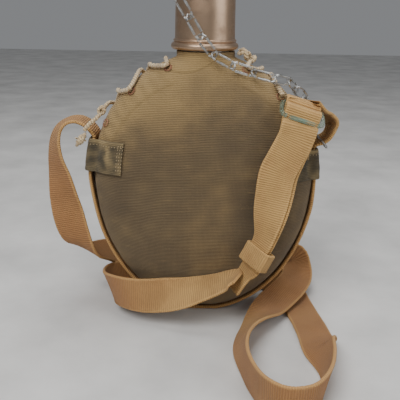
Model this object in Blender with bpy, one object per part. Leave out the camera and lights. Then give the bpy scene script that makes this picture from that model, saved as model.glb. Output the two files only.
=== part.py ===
"""Old field canteen: an aluminium flask in a laced canvas cover, carried on a webbing sling.

All sizes are in millimetres and are turned into metres by MM. The origin is on the floor under
the middle of the flask, on the underside of the webbing band. X runs to the right, Y to the
back and Z up.
"""
import math

import bmesh
import bpy
from mathutils import Matrix, Vector

MM = 0.001
GAP = 0.3

# Covered body: an upright pillow shape, an ellipse from the front and a blunt lens from above.
HALF_WIDTH = 90.3
HALF_DEPTH = 36.0
MIDDLE_Z = 121.5
LOWER_HEIGHT = 119.9
UPPER_HEIGHT = 95.5
FOOT_Z = 2.8
COLLAR_TOP_Z = 220.0
COLLAR_RADIUS = 22.6
EDGE_POWER = 2.8
COVER_THICKNESS = 1.4
FLASK_WALL = 1.2
BODY_LEVELS = 9
BODY_SIDES = 28

# Neck, cap and plug, all turned about the Z axis.
TURNED_SIDES = 32
NECK_RADIUS = 19.4
BORE_RADIUS = 17.6
NECK_BOTTOM_Z = 203.5
NECK_TOP_Z = 243.3
RIM_Z = 220.8
CAP_TOP_Z = 281.4
CAP_RADIUS = 23.5
CAP_TOP_RADIUS = 22.8
CAP_WALL = 0.9
PLUG_RADIUS = 17.2
PLUG_BOTTOM_Z = 233.0
PLUG_TOP_Z = 279.2
RIVET_RADIUS = 1.7
RIVET_HOLE_RADIUS = 2.1

# Webbing sling.
WEBBING_WIDTH = 28.0
WEBBING_THICKNESS = 2.4
BAND_TOP_LEFT_Z = 146.0
BAND_TOP_RIGHT_Z = 138.0

# Canvas keepers on the two edges of the cover.
KEEPER_LEFT_Z = (125.0, 151.0)
KEEPER_RIGHT_Z = (121.0, 145.5)
KEEPER_THICKNESS = 1.3
KEEPER_STAND_OFF = GAP + 2.4 + 0.7
KEEPER_REACH = math.radians(52)

# Lacing.
LACE_RADIUS = 1.6
EYELET_RADIUS = 3.7
EYELET_HOLE_RADIUS = 1.9
EYELET_THICKNESS = 0.9

# Chain.
WIRE_RADIUS = 1.0
LINK_LENGTH = 22.0
LINK_WIDTH = 10.2
LINK_PITCH = 15.9
LINK_ROLL = 45
FIRST_LINK_ROLL = -48

# Three-bar wire slide.
SLIDE_WIRE_RADIUS = 1.5
SLIDE_HALF_LENGTH = 16.4
SLIDE_BAR_SPACING = 10.5
SLIDE_CORNER_RADIUS = 4.5
SLIDE_ORIGIN = Vector((73.2, -45.0, 173.5))
SLIDE_ALONG = Vector((0.957, 0.0, -0.29)).normalized()
SLIDE_ACROSS = Vector((0.12, 0.93, 0.34)).normalized()
SLIDE_OUT = SLIDE_ALONG.cross(SLIDE_ACROSS).normalized()


# ---------------------------------------------------------------- helpers

def clear_scene():
    for item in list(bpy.data.objects):
        bpy.data.objects.remove(item, do_unlink=True)


def make_material(name, colour, roughness, metallic=0.0):
    material = bpy.data.materials.new(name)
    material.use_nodes = True
    shader = material.node_tree.nodes["Principled BSDF"]
    shader.inputs["Base Color"].default_value = (*colour, 1.0)
    shader.inputs["Roughness"].default_value = roughness
    shader.inputs["Metallic"].default_value = metallic
    return material


def add_object(name, mesh, material, origin=(0.0, 0.0, 0.0)):
    """Put a mesh made in millimetres into the scene, with its origin at a point of its own."""
    origin = Vector(origin)
    mesh.transform(Matrix.Scale(MM, 4) @ Matrix.Translation(-origin))
    mesh.shade_smooth()
    mesh.set_sharp_from_angle(angle=math.radians(40))
    item = bpy.data.objects.new(name, mesh)
    item.location = origin * MM
    item.data.materials.append(material)
    bpy.context.collection.objects.link(item)
    return item


def loft(name, rings, closed=False):
    """Skin a list of equal rings of points. An open loft is capped at its two ends."""
    bm = bmesh.new()
    rows = [[bm.verts.new(point) for point in ring] for ring in rings]
    count = len(rows[0])
    spans = len(rows) if closed else len(rows) - 1
    for i in range(spans):
        lower = rows[i]
        upper = rows[(i + 1) % len(rows)]
        for j in range(count):
            k = (j + 1) % count
            bm.faces.new((lower[j], lower[k], upper[k], upper[j]))
    if not closed:
        bm.faces.new(list(reversed(rows[0])))
        bm.faces.new(rows[-1])
    bmesh.ops.recalc_face_normals(bm, faces=bm.faces)
    mesh = bpy.data.meshes.new(name)
    bm.to_mesh(mesh)
    bm.free()
    return mesh


def turned(name, profile, sides=TURNED_SIDES):
    """Turn a closed outline of (radius, height) points about the Z axis."""
    rings = []
    for i in range(sides):
        angle = math.tau * i / sides
        rings.append([Vector((r * math.cos(angle), r * math.sin(angle), z)) for r, z in profile])
    return loft(name, rings, closed=True)


def smooth_path(points, per_span):
    """Catmull-Rom curve through vectors of any one size."""
    padded = [points[0] * 2 - points[1], *points, points[-1] * 2 - points[-2]]
    curve = []
    for i in range(1, len(padded) - 2):
        p0, p1, p2, p3 = padded[i - 1:i + 3]
        for step in range(per_span):
            t = step / per_span
            curve.append(0.5 * (2 * p1 + (p2 - p0) * t + (2 * p0 - 5 * p1 + 4 * p2 - p3) * t * t
                                + (3 * p1 - p0 - 3 * p2 + p3) * t ** 3))
    curve.append(points[-1])
    return curve


def even_path(points, step):
    """The smooth curve through the points, walked in equal steps."""
    fine = smooth_path(points, 24)
    lengths = [(b - a).length for a, b in zip(fine, fine[1:])]
    count = max(2, round(sum(lengths) / step))
    spacing = sum(lengths) / count
    result = [fine[0]]
    walked = 0.0
    for a, b, length in zip(fine, fine[1:], lengths):
        while len(result) < count and walked + length >= spacing * len(result):
            result.append(a.lerp(b, (spacing * len(result) - walked) / length))
        walked += length
    result.append(fine[-1])
    return result


def tangents(path):
    ends = [path[0], *path, path[-1]]
    return [(ends[i + 2] - ends[i]).normalized() for i in range(len(path))]


def ribbon(name, rows, width=WEBBING_WIDTH, thickness=WEBBING_THICKNESS, per_span=4):
    """A flat strap that never dips into the floor.

    Each row is a point of the route, the direction across the strap there and maybe its width.
    """
    route = smooth_path([Vector(row[0]) for row in rows], per_span)
    across = smooth_path([Vector(row[1]).normalized() for row in rows], per_span)
    widths = smooth_path([Vector((row[2] if len(row) > 2 else width, 0.0)) for row in rows], per_span)
    rings = []
    for point, along, side, size in zip(route, tangents(route), across, widths):
        side = (side - along * side.dot(along)).normalized()
        out = along.cross(side)
        half = side * size.x / 2
        rise = out * thickness / 2
        lowest = abs(half.z) + abs(rise.z)
        point = Vector((point.x, point.y, max(point.z, lowest)))
        rings.append([point - half - rise, point + half - rise, point + half + rise, point - half + rise])
    return loft(name, rings)


def cord(name, points, radius, material, bevel_resolution=2):
    """A round cord along a smooth route, with filled ends."""
    curve = bpy.data.curves.new(name, "CURVE")
    curve.dimensions = "3D"
    curve.bevel_depth = radius * MM
    curve.bevel_resolution = bevel_resolution
    curve.use_fill_caps = True
    spline = curve.splines.new("POLY")
    path = even_path([Vector(p) for p in points], radius * 3.2)
    spline.points.add(len(path) - 1)
    for target, point in zip(spline.points, path):
        target.co = (*(point * MM), 1.0)
    item = bpy.data.objects.new(name, curve)
    curve.materials.append(material)
    bpy.context.collection.objects.link(item)
    return item


def wire_loop(name, path, radius, sides=6):
    """A closed wire along a flat or bent loop of points."""
    count = len(path)
    centre = sum(path, Vector()) / count
    rings = []
    for i, point in enumerate(path):
        along = (path[(i + 1) % count] - path[i - 1]).normalized()
        outward = point - centre
        outward = (outward - along * outward.dot(along)).normalized()
        upward = along.cross(outward)
        turn = [math.tau * (j + 0.5) / sides for j in range(sides)]
        rings.append([point + (outward * math.cos(a) + upward * math.sin(a)) * radius for a in turn])
    return loft(name, rings, closed=True)


def combine(target, other, operation):
    """Boolean with a helper object, which is removed afterwards."""
    modifier = target.modifiers.new("combine", "BOOLEAN")
    modifier.operation = operation
    modifier.solver = "EXACT"
    modifier.object = other
    depsgraph = bpy.context.evaluated_depsgraph_get()
    mesh = bpy.data.meshes.new_from_object(target.evaluated_get(depsgraph))
    target.modifiers.clear()
    target.data = mesh
    mesh.shade_smooth()
    mesh.set_sharp_from_angle(angle=math.radians(40))
    bpy.data.objects.remove(other, do_unlink=True)


# ---------------------------------------------------------------- shape of the covered body

def body_section(z, inset=0.0):
    """Half width, half depth and roundness of the body at a height, shrunk by an inset."""
    reach = (UPPER_HEIGHT if z > MIDDLE_Z else LOWER_HEIGHT) - inset
    u = min(1.0, abs(z - MIDDLE_Z) / reach)
    width = (HALF_WIDTH - inset) * math.sqrt(max(0.0, 1 - u * u))
    depth = (HALF_DEPTH - inset) * max(0.0, 1 - u ** 3) ** (1 / EDGE_POWER)
    power = EDGE_POWER
    if z > MIDDLE_Z:
        neck = COLLAR_RADIUS - inset
        width = (width ** 6 + neck ** 6) ** (1 / 6)
        depth = (depth ** 6 + neck ** 6) ** (1 / 6)
        power = EDGE_POWER - (EDGE_POWER - 2.0) * max(0.0, u) ** 8
    return width, depth, power


def section_point(z, angle, inset=0.0):
    width, depth, power = body_section(z, inset)
    c = math.cos(angle)
    s = math.sin(angle)
    x = math.copysign(abs(c) ** (2 / power), c) * width
    y = math.copysign(abs(s) ** (2 / power), s) * depth
    return Vector((x, y, z))


def cover_depth(x, z):
    """Distance of the cover's surface from the middle plane at a place seen from the front."""
    width, depth, power = body_section(z)
    return depth * max(0.0, 1 - (abs(x) / width) ** power) ** (1 / power)


def body_levels(inset, top_z):
    foot = FOOT_Z + inset
    start = math.acos((MIDDLE_Z - foot) / (LOWER_HEIGHT - inset))
    lower = [MIDDLE_Z - (LOWER_HEIGHT - inset) * math.cos(start + (math.pi / 2 - start) * i / BODY_LEVELS)
             for i in range(BODY_LEVELS)]
    last = math.asin(min(1.0, (COLLAR_TOP_Z - 5.0 - MIDDLE_Z) / (UPPER_HEIGHT - inset)))
    upper = [MIDDLE_Z + (UPPER_HEIGHT - inset) * math.sin(last * i / BODY_LEVELS)
             for i in range(BODY_LEVELS + 1)]
    return [*lower, *upper, top_z]


def body_solid(name, inset, top_z):
    rings = []
    for z in body_levels(inset, top_z):
        rings.append([section_point(z, math.tau * i / BODY_SIDES, inset) for i in range(BODY_SIDES)])
    return loft(name, rings)


def half_solid(name, inset, top_z, side):
    """The front (side -1) or back (side 1) half of the body, flat along the middle plane."""
    half = BODY_SIDES // 2
    rings = []
    for z in body_levels(inset, top_z):
        ring = [section_point(z, side * math.pi * i / half, inset) for i in range(half + 1)]
        for point in ring:
            point.y = side * max(side * point.y, GAP / 2)
        rings.append(ring)
    return loft(name, rings)


def half_shell(name, inset, wall, top_z, side, material):
    shell = add_object(name, half_solid(name, inset, top_z, side), material)
    cavity = add_object("cavity", body_solid("cavity", inset + wall, top_z + 5.0), material)
    combine(shell, cavity, "DIFFERENCE")
    return shell


# ---------------------------------------------------------------- flask, cover, cap

def make_flask(aluminium):
    inset = COVER_THICKNESS + GAP
    half_shell("flask_front_shell", inset, FLASK_WALL, COLLAR_TOP_Z - 2.5, -1, aluminium)
    half_shell("flask_back_shell", inset, FLASK_WALL, COLLAR_TOP_Z - 2.5, 1, aluminium)
    lip = 1.0
    seat = COLLAR_RADIUS - inset - FLASK_WALL - GAP
    profile = [
        (BORE_RADIUS, NECK_BOTTOM_Z), (seat, NECK_BOTTOM_Z), (seat, NECK_BOTTOM_Z + 1.5),
        (NECK_RADIUS - 0.6, NECK_BOTTOM_Z + 2.5), (NECK_RADIUS - 0.6, NECK_TOP_Z - 4.0),
        (NECK_RADIUS + lip, NECK_TOP_Z - 3.0), (NECK_RADIUS + lip, NECK_TOP_Z - 1.0),
        (NECK_RADIUS, NECK_TOP_Z), (BORE_RADIUS + 0.4, NECK_TOP_Z), (BORE_RADIUS, NECK_TOP_Z - 0.6),
    ]
    add_object("flask_neck", turned("flask_neck", profile), aluminium)


def make_cover(canvas):
    half_shell("cover_front", 0.0, COVER_THICKNESS, COLLAR_TOP_Z, -1, canvas)
    half_shell("cover_back", 0.0, COVER_THICKNESS, COLLAR_TOP_Z, 1, canvas)


def make_cap(copper, cork, brass):
    inner = CAP_RADIUS - CAP_WALL
    under = CAP_TOP_Z - CAP_WALL
    profile = [
        (inner, RIM_Z + 0.7), (CAP_RADIUS + 0.3, RIM_Z), (CAP_RADIUS + 1.8, RIM_Z + 0.4),
        (CAP_RADIUS + 2.9, RIM_Z + 2.0), (CAP_RADIUS + 2.8, RIM_Z + 3.8),
        (CAP_RADIUS + 1.6, RIM_Z + 5.2),
        (CAP_RADIUS + 0.6, RIM_Z + 5.7), (CAP_RADIUS + 1.2, RIM_Z + 6.5),
        (CAP_RADIUS + 1.2, RIM_Z + 7.5),
        (CAP_RADIUS + 0.3, RIM_Z + 8.2), (CAP_RADIUS, RIM_Z + 9.5), (CAP_TOP_RADIUS, CAP_TOP_Z - 6.0),
        (CAP_TOP_RADIUS - 0.8, CAP_TOP_Z - 2.8), (CAP_TOP_RADIUS - 2.8, CAP_TOP_Z - 0.8),
        (CAP_TOP_RADIUS - 6.0, CAP_TOP_Z), (RIVET_HOLE_RADIUS, CAP_TOP_Z), (RIVET_HOLE_RADIUS, under),
        (CAP_TOP_RADIUS - 6.3, under), (CAP_TOP_RADIUS - 3.4, under - 0.8),
        (CAP_TOP_RADIUS - 1.7, under - 2.6), (CAP_TOP_RADIUS - CAP_WALL, under - 5.4),
    ]
    add_object("cap_shell", turned("cap_shell", profile), copper)

    profile = [
        (RIVET_HOLE_RADIUS, PLUG_BOTTOM_Z), (PLUG_RADIUS - 1.5, PLUG_BOTTOM_Z),
        (PLUG_RADIUS, PLUG_BOTTOM_Z + 2.0), (PLUG_RADIUS, PLUG_TOP_Z), (RIVET_HOLE_RADIUS, PLUG_TOP_Z),
    ]
    add_object("cork_plug", turned("cork_plug", profile, 24), cork)

    washer_top = PLUG_BOTTOM_Z - GAP
    washer_bottom = washer_top - 0.9
    profile = [
        (RIVET_HOLE_RADIUS, washer_bottom), (12.0, washer_bottom), (12.0, washer_top),
        (RIVET_HOLE_RADIUS, washer_top),
    ]
    add_object("plug_washer", turned("plug_washer", profile, 24), brass)

    head_top = washer_bottom - GAP
    tip = SWIVEL_PLATE_Z + SWIVEL_PLATE_THICKNESS + GAP
    profile = [
        (0.05, head_top - 1.6), (3.2, head_top - 1.3), (4.0, head_top), (RIVET_RADIUS, head_top),
        (RIVET_RADIUS, tip), (3.6, tip), (2.8, tip + 1.3), (0.05, tip + 1.8),
    ]
    add_object("swivel_rivet", solid_turned("swivel_rivet", profile, 16), brass)


def solid_turned(name, profile, sides):
    """Turn an outline that runs from axis to axis into a solid with no hole."""
    first = profile[0]
    last = profile[-1]
    bm = bmesh.new()
    rows = []
    turns = [math.tau * i / sides for i in range(sides)]
    for r, z in profile[1:-1]:
        rows.append([bm.verts.new((r * math.cos(turn), r * math.sin(turn), z)) for turn in turns])
    bottom = bm.verts.new((0.0, 0.0, first[1]))
    top = bm.verts.new((0.0, 0.0, last[1]))
    for i in range(sides):
        k = (i + 1) % sides
        for lower, upper in zip(rows, rows[1:]):
            bm.faces.new((lower[i], lower[k], upper[k], upper[i]))
        bm.faces.new((bottom, rows[0][k], rows[0][i]))
        bm.faces.new((top, rows[-1][i], rows[-1][k]))
    bmesh.ops.recalc_face_normals(bm, faces=bm.faces)
    mesh = bpy.data.meshes.new(name)
    bm.to_mesh(mesh)
    bm.free()
    return mesh


# ---------------------------------------------------------------- swivel and chain

SWIVEL_PLATE_Z = CAP_TOP_Z + GAP
SWIVEL_PLATE_THICKNESS = 1.5
SWIVEL_PLATE_RADIUS = 8.0
SWIVEL_DIRECTION = Vector((-0.86, -0.51, 0.0)).normalized()
SWIVEL_EYE_REACH = 10.3
SWIVEL_EYE_RADIUS = 4.8

# Route of the chain from the swivel's eye, down the cap and along the shoulder to its end ring.
CHAIN_ROUTE = [
    (-10.8, -6.4, 287.3), (-25.0, -15.5, 285.2), (-27.8, -24.5, 272.0), (-18.5, -30.0, 256.5),
    (-9.0, -32.5, 241.0), (-1.0, -33.8, 228.0), (8.5, -33.0, 217.5), (20.5, -31.5, 211.5),
    (36.0, -30.0, 206.5), (50.5, -27.5, 202.5), (65.5, -17.0, 198.7), (74.0, -4.5, 192.0),
    (80.5, 5.5, 184.5), (86.5, 12.5, 176.0), (92.0, 17.5, 166.0), (96.0, 19.5, 157.5),
]
END_RING_CENTRE = Vector((96.8, 0.5, 149.8))
END_RING_ACROSS = Vector((0.62, 0.0, -0.78)).normalized()
END_RING_HALF_LENGTH = 18.6
END_RING_HALF_WIDTH = 4.6


def stadium(centre, along, side, half_length, radius, corner_steps=4):
    """A loop with straight sides and half-round ends, in the plane of along and side."""
    points = []
    for end in (1, -1):
        for i in range(corner_steps + 1):
            angle = math.pi * i / corner_steps - math.pi / 2
            offset = along * (end * (half_length - radius) + end * radius * math.cos(angle))
            points.append(centre + offset + side * (end * radius * math.sin(angle)))
    return points


def make_swivel(brass):
    top = SWIVEL_PLATE_Z + SWIVEL_PLATE_THICKNESS
    profile = [(RIVET_HOLE_RADIUS, SWIVEL_PLATE_Z), (SWIVEL_PLATE_RADIUS, SWIVEL_PLATE_Z),
               (SWIVEL_PLATE_RADIUS, top), (RIVET_HOLE_RADIUS, top)]
    plate = add_object("swivel_eye", turned("swivel_eye", profile, 20), brass)
    centre = SWIVEL_DIRECTION * SWIVEL_EYE_REACH + Vector((0.0, 0.0, SWIVEL_PLATE_Z + 1.0))
    path = []
    for i in range(14):
        angle = math.tau * i / 14
        path.append(centre + SWIVEL_DIRECTION * math.cos(angle) * SWIVEL_EYE_RADIUS
                    + Vector((0.0, 0.0, 1.0)) * (math.sin(angle) * SWIVEL_EYE_RADIUS + SWIVEL_EYE_RADIUS))
    eye = add_object("eye", wire_loop("eye", path, 1.2), brass)
    combine(plate, eye, "UNION")
    return plate


def make_chain(steel):
    """Links of equal pitch along the route, each turned a quarter turn from the one before."""
    joints = even_path([Vector(p) for p in CHAIN_ROUTE], LINK_PITCH)
    for i, (start, end) in enumerate(zip(joints, joints[1:])):
        centre = (start + end) / 2
        along = (end - start).normalized()
        flat = along.cross(Vector((0.0, -1.0, 0.15))).normalized()
        roll = math.radians(FIRST_LINK_ROLL if i == 0 else LINK_ROLL if i % 2 else -LINK_ROLL)
        side = Matrix.Rotation(roll, 3, along) @ flat
        half = LINK_LENGTH / 2 - WIRE_RADIUS
        loop = stadium(Vector(), along, side, half, LINK_WIDTH / 2 - WIRE_RADIUS)
        name = f"chain_link_{i + 1:02d}"
        link = add_object(name, wire_loop(name, loop, WIRE_RADIUS), steel)
        link.location = centre * MM
    ring = stadium(Vector(), Vector((0.0, 1.0, 0.0)), END_RING_ACROSS, END_RING_HALF_LENGTH,
                   END_RING_HALF_WIDTH)
    item = add_object("chain_end_ring", wire_loop("chain_end_ring", ring, WIRE_RADIUS), steel)
    item.location = END_RING_CENTRE * MM


# ---------------------------------------------------------------- eyelets and lacing

# Eyelets as seen from the front: (x, z). Those at the back sit half a step further down.
FRONT_EYELETS = [
    (-27.5, 207.5), (-55.5, 189.5), (-76.5, 164.0), (31.5, 206.5), (58.0, 187.0), (79.5, 158.0),
]
BACK_EYELETS = [
    (-47.5, 195.5), (-71.0, 172.5), (-80.8, 155.4), (49.5, 193.5), (73.0, 168.0), (81.5, 151.0),
]


def surface_frame(x, z, side):
    """A point of the cover's surface and the outward direction there."""
    y = side * cover_depth(x, z)
    step = 0.5
    slope_x = side * (cover_depth(x + step, z) - cover_depth(x - step, z)) / (2 * step)
    slope_z = side * (cover_depth(x, z + step) - cover_depth(x, z - step)) / (2 * step)
    normal = Vector((-slope_x, 1.0, -slope_z)) * side
    return Vector((x, y, z)), normal.normalized()


def make_eyelets(brass):
    for side, places, word in ((-1, FRONT_EYELETS, "front"), (1, BACK_EYELETS, "back")):
        for i, (x, z) in enumerate(places):
            point, normal = surface_frame(x, z, side)
            low = GAP + 0.35
            high = low + EYELET_THICKNESS
            profile = [(EYELET_HOLE_RADIUS, low), (EYELET_RADIUS, low), (EYELET_RADIUS - 0.5, high),
                       (EYELET_HOLE_RADIUS + 0.3, high)]
            name = f"eyelet_{word}_{i + 1}"
            item = add_object(name, turned(name, profile, 12), brass)
            facing = normal.to_track_quat("Z", "Y").to_matrix().to_4x4()
            item.matrix_world = Matrix.Translation(point * MM) @ facing


LACE_LIFT = LACE_RADIUS + GAP + 0.9


def ridge_height(x):
    return MIDDLE_Z + UPPER_HEIGHT * math.sqrt(1 - (x / HALF_WIDTH) ** 2)


def over_the_edge(start, end, side):
    """Points that carry the lace from one face of the cover over its top edge to the other face."""
    middle_x = start[0] + (end[0] - start[0]) * (0.72 if side < 0 else 0.28)
    slope = UPPER_HEIGHT * middle_x / HALF_WIDTH / math.sqrt(HALF_WIDTH ** 2 - middle_x ** 2)
    outward = Vector((slope, 0.0, 1.0)).normalized()
    up = []
    down = []
    for share in (0.5, 0.85):
        for (x, z), face, found in ((start, side, up), (end, -side, down)):
            place_x = x + (middle_x - x) * share
            place_z = z + (ridge_height(middle_x) - z) * share
            place_z = min(place_z, ridge_height(place_x) - 0.6)
            point, normal = surface_frame(place_x, place_z, face)
            found.append(point + normal * LACE_LIFT)
    top = Vector((middle_x, 0.0, ridge_height(middle_x))) + outward * LACE_LIFT
    return [*up, top, *reversed(down)]


def lace_route(start, stops, end):
    """Zigzag between eyelets of the front (-1) and the back (1), over the top edge each time."""
    points = [Vector(p) for p in start]
    for i, (place, side) in enumerate(stops):
        if i:
            points.extend(over_the_edge(stops[i - 1][0], place, stops[i - 1][1]))
        point, normal = surface_frame(*place, side)
        points.append(point + normal * (LACE_LIFT + EYELET_THICKNESS + 0.6))
    points.extend(Vector(p) for p in end)
    return points


LACE_LEFT_START = [(-30.0, -11.0, 214.5)]
LACE_LEFT_END = [
    (-77.5, 5.0, 176.5), (-81.0, -5.0, 172.5), (-84.0, -14.0, 168.0), (-90.0, -18.5, 163.0),
    (-94.0, -18.5, 158.0),
]
LACE_RIGHT_START = [(35.0, -13.0, 213.0)]
LACE_RIGHT_END = []
LACE_KNOTS = [
    ("lace_knot_left", (-97.0, -18.5, 150.5), (3.8, 3.8, 5.4)),
    ("lace_knot_right", (33.0, -8.5, 217.2), (5.2, 4.6, 3.4)),
]


def make_lacing(lace):
    left_stops = [(FRONT_EYELETS[0], -1), (BACK_EYELETS[0], 1),
                  (FRONT_EYELETS[1], -1), (BACK_EYELETS[1], 1)]
    right_stops = [(FRONT_EYELETS[3], -1), (BACK_EYELETS[3], 1), (FRONT_EYELETS[4], -1)]
    cord("lace_left", lace_route(LACE_LEFT_START, left_stops, LACE_LEFT_END), LACE_RADIUS, lace)
    cord("lace_right", lace_route(LACE_RIGHT_START, right_stops, LACE_RIGHT_END), LACE_RADIUS, lace)
    for name, centre, size in LACE_KNOTS:
        add_object(name, ball(name, size), lace).location = Vector(centre) * MM


def ball(name, size):
    bm = bmesh.new()
    bmesh.ops.create_uvsphere(bm, u_segments=10, v_segments=7, radius=1.0)
    bmesh.ops.scale(bm, verts=bm.verts, vec=size)
    mesh = bpy.data.meshes.new(name)
    bm.to_mesh(mesh)
    bm.free()
    return mesh


# ---------------------------------------------------------------- keepers on the cover's edges

def keeper_outline(z, grow):
    """Half ring of points round the right edge: along the cover, and straight across the webbing."""
    width, depth, power = body_section(z)
    half = WEBBING_WIDTH / 2 + 1.4
    start = math.asin(((half + 3.5) / depth) ** (power / 2))
    steps = 4
    face = []
    for i in range(steps + 1):
        angle = KEEPER_REACH + (start - KEEPER_REACH) * i / steps
        normal = Vector((math.cos(angle) / width, math.sin(angle) / depth, 0.0)).normalized()
        face.append(section_point(z, angle) + normal * (2 * GAP + grow))
    flat_x = width + KEEPER_STAND_OFF + grow
    across = [Vector((flat_x, y, z)) for y in (half + grow / 2, 0.0, -half - grow / 2)]
    mirrored = [Vector((p.x, -p.y, p.z)) for p in reversed(face)]
    return [*face, *across, *mirrored]


def make_keeper(name, side, heights, canvas):
    """A canvas band that goes round the edge of the cover, standing off it over the webbing."""
    levels = 4
    bottom, top = heights
    rings = []
    for i in range(levels + 1):
        z = bottom + (top - bottom) * i / levels
        ring = [*keeper_outline(z, 0.0), *reversed(keeper_outline(z, KEEPER_THICKNESS))]
        rings.append([Vector((side * p.x, p.y, p.z)) for p in ring])
    add_object(name, loft(name, rings), canvas)


# ---------------------------------------------------------------- webbing

# The sling leaves the left keeper, hangs in a loop, runs behind the body, lies in a loop on the
# floor, returns behind the body and comes forward round its left side to the front.
# Each row: a point of the middle line, then the direction across the strap.
SLING_ROUTE = [
    ((-88.4, 0, 148.3), (0, 1, 0)), ((-87.6, 0, 152), (0, 1, 0)), ((-91, 0, 157), (0, 1, 0)),
    ((-95.5, 0, 161), (0, 1, 0)),
    ((-102.5, 0, 163.5), (0, 1, 0)), ((-111, -1, 162), (-0.1, 1, 0)),
    ((-118, -2, 155.5), (-0.3, 0.95, 0)),
    ((-121.5, -3, 145), (-0.45, 0.9, 0)), ((-121.5, -4, 131), (-0.6, 0.8, 0)),
    ((-118.5, -6, 115.5), (-0.8, 0.6, 0)),
    ((-115.5, -8, 98), (-0.93, 0.35, 0)), ((-112, -9, 83), (-0.98, 0.15, -0.05)),
    ((-108.5, -9, 69), (-0.95, 0.2, -0.1)),
    ((-104, -6, 57), (-0.9, 0.35, 0.1)), ((-98.5, 2, 47.5), (-0.8, 0.5, 0.25)),
    ((-92.5, 14, 41), (-0.75, 0.5, 0.35)),
    ((-85, 28, 35.5), (-0.6, 0.55, 0.6)), ((-70, 44, 29), (-0.3, 0.6, 0.8)),
    ((-46, 54, 21), (0, 0.5, 0.9)),
    ((-14, 58, 15), (0, 0.4, 0.92)), ((21, 59, 14), (0, 0.4, 0.92)),
    ((53, 57.5, 15.5), (0.05, 0.45, 0.88)),
    ((76, 53, 20.5), (0.25, 0.5, 0.82)), ((89, 48, 24), (0.5, 0.3, 0.8)),
    ((91, 38, 19.5), (0.85, 0.1, 0.3)),
    ((89, 21, 16.5), (0.93, -0.05, -0.1)), ((81, 3, 15.5), (0.93, -0.1, -0.25)),
    ((68.5, -14, 12.5), (0.94, -0.17, -0.27)),
    ((57.5, -30, 11), (0.95, 0.1, -0.05)), ((46.5, -50, 10), (0.88, 0.07, 0.4)),
    ((37, -71, 11.5), (0.6, -0.26, 0.75)),
    ((32.5, -92, 13.5), (0.34, -0.37, 0.86)), ((32.5, -115, 14), (0.1, -0.3, 0.94)),
    ((36, -136, 14), (0.03, -0.2, 0.97)),
    ((43.5, -154, 14), (0, -0.1, 0.99)), ((56, -165, 14), (0, 0, 1)),
    ((70.5, -162, 14), (0.05, -0.05, 1)),
    ((81, -150, 14), (0.1, -0.1, 0.98)), ((87, -136, 13.5), (0.2, -0.1, 0.97)),
    ((91.5, -117, 12.5), (0.25, -0.2, 0.93)),
    ((92, -98, 9.5), (0.5, -0.15, 0.85)), ((92.5, -80, 4.5), (0.9, -0.1, 0.35)),
    ((93, -62, 1.5), (1, 0.02, 0.03)),
    ((91.5, -43, 1.5), (1, 0.05, 0)), ((89, -25, 1.5), (0.99, 0.1, 0)),
    ((86.5, -6, 1.5), (0.99, 0.1, 0)),
    ((83, 12, 2), (0.95, 0.25, 0.1)), ((73.5, 26, 6), (0.7, 0.5, 0.5)),
    ((58, 33.5, 11), (0.3, 0.4, 0.87)),
    ((38, 36, 14), (0.05, 0.1, 1)), ((12, 36, 14.3), (0, 0, 1)), ((-18, 35, 14.3), (0, 0, 1)),
    ((-46, 31, 14.5), (-0.05, 0.1, 1)), ((-68, 22.5, 15), (-0.2, 0.1, 0.97)),
    ((-78.5, 9, 17), (-0.36, 0, 0.93)),
    ((-79, -9, 20), (-0.38, 0, 0.92)), ((-73.5, -24, 22.5), (-0.2, 0.05, 0.98)),
    ((-61.5, -34.5, 24), (-0.05, 0.1, 0.98)),
    ((-46.5, -40.5, 25.3), (0, 0.25, 0.97)), ((-30, -44, 28), (-0.05, 0.5, 0.86)),
    ((-14, -46.5, 31.5), (-0.1, 0.78, 0.6)),
    ((0, -47.5, 35.8), (-0.12, 0.93, 0.35)), ((12, -48, 40), (-0.05, 0.95, 0.2)),
    ((23.5, -49, 45.5), (0.02, 0.99, 0.05)),
    ((29.4, -53.0, 49.2), (0.08, 0.98, -0.07), 16),
]

# The riser is two layers of webbing, one behind the other: the middle line between the layers,
# the direction across, and the width there, which the tight keeper squeezes.
DOUBLED_ROUTE = [
    ((39.5, -47.8, 57), (-0.6, 0.72, 0.35), 19), ((44, -47.5, 65), (-0.62, 0.72, 0.3), 18),
    ((47.5, -47, 73), (-0.63, 0.72, 0.25), 18.5), ((50.3, -47, 81.5), (-0.66, 0.72, 0.22), 20.5),
    ((52.3, -46, 96), (-0.8, 0.55, 0.2), 25), ((54.2, -44, 111.5), (-0.93, 0.3, 0.18), 27),
    ((57, -42.5, 131), (-0.92, 0.1, 0.36), 28),
    ((62, -42.5, 143.5), (-0.92, 0, 0.39), 28), ((69, -43, 159), (-0.94, 0, 0.33), 28),
]
TAIL_END = [
    ((36.4, -43.4, 49.2), (-0.5, 0.75, 0.35), 16), ((31.6, -43.2, 41), (-0.42, 0.85, 0.25), 15),
    ((27.5, -44, 33), (-0.4, 0.88, 0.2), 14),
]
LAYER_OFFSET = WEBBING_THICKNESS / 2 + 0.4

# How far the layer behind has slipped to the right of the front one, at each row of the route.
SLIPPED = (0.0, 0.0, 0.0, 0.0, 1.0, 2.0, 2.6, 2.2, 1.0)


def doubled_layer(side):
    """One layer of the riser. Side 1 is the front layer and side -1 the one behind it."""
    points = [Vector(point) for point, _, _ in DOUBLED_ROUTE]
    rows = []
    for point, along, (_, across, width), slip in zip(points, tangents(points), DOUBLED_ROUTE, SLIPPED):
        across = Vector(across)
        out = along.cross(across - along * across.dot(along)).normalized()
        place = point + out * side * LAYER_OFFSET
        if side < 0:
            place = place - across.normalized() * slip
        rows.append((place, across, width))
    return rows


def slide_point(across, out):
    """A point above the middle of the slide: distance from the front bar, and height."""
    return SLIDE_ORIGIN + SLIDE_ACROSS * across + SLIDE_OUT * out


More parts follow.
